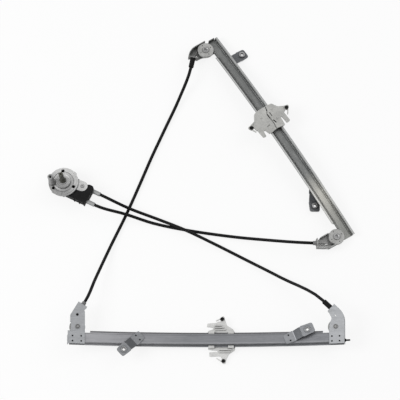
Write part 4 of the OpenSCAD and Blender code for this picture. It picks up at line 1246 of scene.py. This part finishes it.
@dataclass
class FineMarks:
    """Small repeated forms: painted shade in the clinches and a hole, rings and threads of the nuts, pulley
    dimples.
    """

    top_clinches: tuple[Pair, ...] = ((7.5, 1), (-7, 1), (7.5, -8.5), (-7, -8.5))
    low_clinches: tuple[Pair, ...] = ((9.5, 1.5), (-7, 1.5), (9.5, -8.5), (-7, -8.5))
    clinch_z: float = -0.6
    mount_clinch_z: float = -0.75
    mount_clinches: Pair = (-5.5, 5.5)
    hole_at: Point = (0.5, 43, -0.8)
    post_turn: float = 210.0
    thread_at: Point = (21, 0, 23)
    pulley_y: float = 19.8
    rivet_z: float = -2.7
    dimple_at: float = 10.9
    face_z: float = 6.95
    sheet: float = 1.6
    disc_sides: int = 20
    ring_sides: int = 24
    section_sides: int = 6
    slots: dict[str, str] = field(
        default_factory=lambda: {
            "pit": "black_plastic", "dark": "dark_steel", "bright": "bright_steel", "drawn": "winder_metal",
        }
    )

    @staticmethod
    def spread_over(sheet: TreeSheet, form: Output) -> bpy.types.NodeTree:
        """Ends a tree with a small form on each point, turned the way that the point faces.

        Args:
            sheet: The tree's sheet.
            form: The form's mesh.

        Returns:
            The tree.
        """
        way = sheet.add("GeometryNodeInputNamedAttribute", {"Name": "Facing"}, data_type="FLOAT_VECTOR")
        turn = sheet.add("FunctionNodeAlignRotationToVector", {"Vector": way.outputs["Attribute"]}, axis="Z")
        rows = {"Points": sheet.source["Geometry"], "Instance": form, "Rotation": turn.outputs["Rotation"]}
        return sheet.ended(sheet.add("GeometryNodeInstanceOnPoints", rows).outputs["Instances"])

    def disc_tree(self) -> bpy.types.NodeTree:
        """Builds the tree that sets a thin disc on each point. Returns it."""
        sheet = TreeSheet(
            "Discs on points", {"Radius": (Socket.NUMBER, 0.0015), "Height": (Socket.NUMBER, 0.0002)}
        )
        read = sheet.source
        size = {"Radius": read["Radius"], "Depth": read["Height"], "Vertices": self.disc_sides}
        return self.spread_over(sheet, sheet.add("GeometryNodeMeshCylinder", size).outputs["Mesh"])

    def coil_tree(self) -> bpy.types.NodeTree:
        """Builds the tree that sets a ring or a thread on each point. Returns it."""
        sheet = TreeSheet(
            "Rings on points",
            {
                "Radius": (Socket.NUMBER, 0.003),
                "Thickness": (Socket.NUMBER, 0.0003),
                "Turns": (Socket.NUMBER, 1.0),
                "Height": (Socket.NUMBER, 0.0),
            },
        )
        read = sheet.source
        size = {
            "Resolution": self.ring_sides, "Rotations": read["Turns"],
            "Start Radius": read["Radius"], "End Radius": read["Radius"], "Height": read["Height"],
        }
        coil = sheet.add("GeometryNodeCurveSpiral", size).outputs["Curve"]
        section = {"Radius": read["Thickness"], "Resolution": self.section_sides}
        profile = sheet.add("GeometryNodeCurvePrimitiveCircle", section).outputs["Curve"]
        sweep = {"Curve": coil, "Profile Curve": profile, "Fill Caps": True}
        return self.spread_over(sheet, sheet.add("GeometryNodeCurveToMesh", sweep).outputs["Mesh"])

    @staticmethod
    def points(name: str, places: Sequence[Matrix]) -> bpy.types.Mesh:
        """Makes a mesh of lone points that keep the way they face.

        Args:
            name: The mesh's name.
            places: Each point's own axes.

        Returns:
            The mesh.
        """
        mesh = bpy.data.meshes.new(name)
        mesh.from_pydata([tuple(place.translation) for place in places], [], [])
        facing = mesh.attributes.new("Facing", "FLOAT_VECTOR", "POINT")
        for item, place in zip(facing.data, places):
            item.vector = place.to_3x3() @ Vector((0, 0, 1))
        return mesh

    def clinches(self) -> list[Matrix]:
        """Returns the floor of each clinch on the brackets and mounts."""
        z, rails = self.clinch_z, (RAIL_A, RAIL_B)
        spots = [rail.top() @ moved(x, y, z) for rail in rails for x, y in self.top_clinches]
        spots += [rail.bottom() @ moved(x, y, z) for rail in rails for x, y in self.low_clinches]
        for mount in MOUNTS.values():
            spots += [mount.lay() @ moved(0, y, self.mount_clinch_z) for y in self.mount_clinches]
        return spots

    def marks(self) -> list[Mark]:
        """Lists every mark on the regulator. Returns them in the order of making."""
        ends = {
            "pulley_a_top": RAIL_A.top(), "pulley_a_bottom": RAIL_A.bottom(),
            "pulley_b_top": RAIL_B.top(), "pulley_b_bottom": RAIL_B.bottom(),
        }
        feet = [m.lay() @ moved(m.reach, 0, -m.drop - self.sheet) for m in MOUNTS.values()]
        bores = [foot @ moved(0, 0, 0.3) for foot in feet]
        backs = [end @ moved(0, self.pulley_y, self.rivet_z) for end in (RAIL_A.top(), RAIL_A.bottom())]
        post = WINDER @ turned(self.post_turn, "Z") @ moved(*self.thread_at)
        # painted shade: the near-black marks in the clinch floors, the bottom bracket's hole, the rivet
        # rings and the pulleys' dimples and seams
        marks = [
            Mark("clinch_shade", "pit", self.clinches(), 1.5, 0.25),
            Mark("hole_shade", "pit", [RAIL_A.bottom() @ moved(*self.hole_at)], 2.55, 0.8),
            Mark("nut_rings", "dark", feet, 6.9, 0.35, turns=1.0),
            Mark("nut_collars", "bright", feet, 4.4, 0.5, turns=1.0),
            Mark("nut_threads", "dark", bores, 2.85, 0.28, turns=4.5, height=4.4),
            Mark("post_thread", "drawn", [post], 2.35, 0.3, turns=12.0, height=12.0),
            Mark("rivet_rings", "pit", backs, 3.1, 0.4, turns=1.0),
        ]
        for name, place in ends.items():
            middle = place @ moved(0, self.pulley_y, self.face_z)
            around = [middle @ turned(a, "Z") @ moved(self.dimple_at, 0, 0) for a in (0, 90, 180, 270)]
            marks.append(Mark(f"{name}_dimples", "pit", around, 0.9, 0.12, body=f"{name}_body"))
            marks.append(Mark(f"{name}_seam", "pit", [middle], 6.7, 0.3, turns=1.0, body=f"{name}_body"))
        return marks

    def build(self, rack: FinishRack) -> None:
        """Makes the marks, one mesh for each kind and body.

        Args:
            rack: The finishes.
        """
        discs, coils = self.disc_tree(), self.coil_tree()
        for mark in self.marks():
            tree = coils if mark.turns > 0 else discs
            values = {**mark.sizes(), "Material": rack.materials[mark.finish]}
            piece = grown(mark.name, self.points(f"{mark.name}_points", mark.places), tree, values)
            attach(piece, mark.body)


@dataclass
class SolidFinishes:
    """Which solids get each finish."""

    nodes_of: dict[str, tuple[str, ...]] = field(
        default_factory=lambda: {
            "cast": ("winder_flange", "brake_cup", "backing_plate", "winder_post", "nipples_a", "nipples_b"),
            "black": ("drum_housing", "back_cover", "end_stub"),
            "bright": ("cover_screws", "lug_rivet", "brake_spring", "pulley_rivets", "mount_nuts"),
            "drawn": ("ferrule_a", "ferrule_b"),
            "olive": ("crank_shaft",),
            "ivory": ("cable_drum",),
            "rail_a": ("rail_a",),
            "rail_b": ("rail_b",),
            "bracket": ("bracket_a_top", "bracket_a_bottom"),
            "used": ("bracket_b_top",),
            "worn": ("bracket_b_bottom",),
            "pulley": ("pulley_a_top", "pulley_a_bottom", "pulley_b_top", "pulley_b_bottom"),
            "mount_top": ("mount_a_top",),
            "mount_bottom": ("mount_a_bottom",),
            "dark": ("mount_b_top", "mount_b_bottom"),
            "milky": ("carrier_a",),
            "milky_b": ("carrier_b",),
            "rubber": ("buffers_a", "buffers_b", "boot_a", "boot_b"),
            "grey": ("plug_a", "plug_b"),
        }
    )

    def build(self, rack: FinishRack) -> None:
        """Dresses the solids.

        Args:
            rack: The finishes.
        """
        for key, nodes in self.nodes_of.items():
            for node in nodes:
                rack.dress(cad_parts[node], key)
            LOG.info("%s: %s", key, ", ".join(nodes))


def main() -> None:
    """Builds the scene in order."""
    logging.basicConfig(level=logging.INFO, format="%(message)s")
    bpy.context.scene.view_settings.view_transform = "Standard"
    Studio().build()
    rack = FinishRack()
    cables = CableRun()
    cables.build(rack)
    InnerWire().build(rack, cables)
    FineMarks().build(rack)
    SolidFinishes().build(rack)


if __name__ == "__main__":
    main()
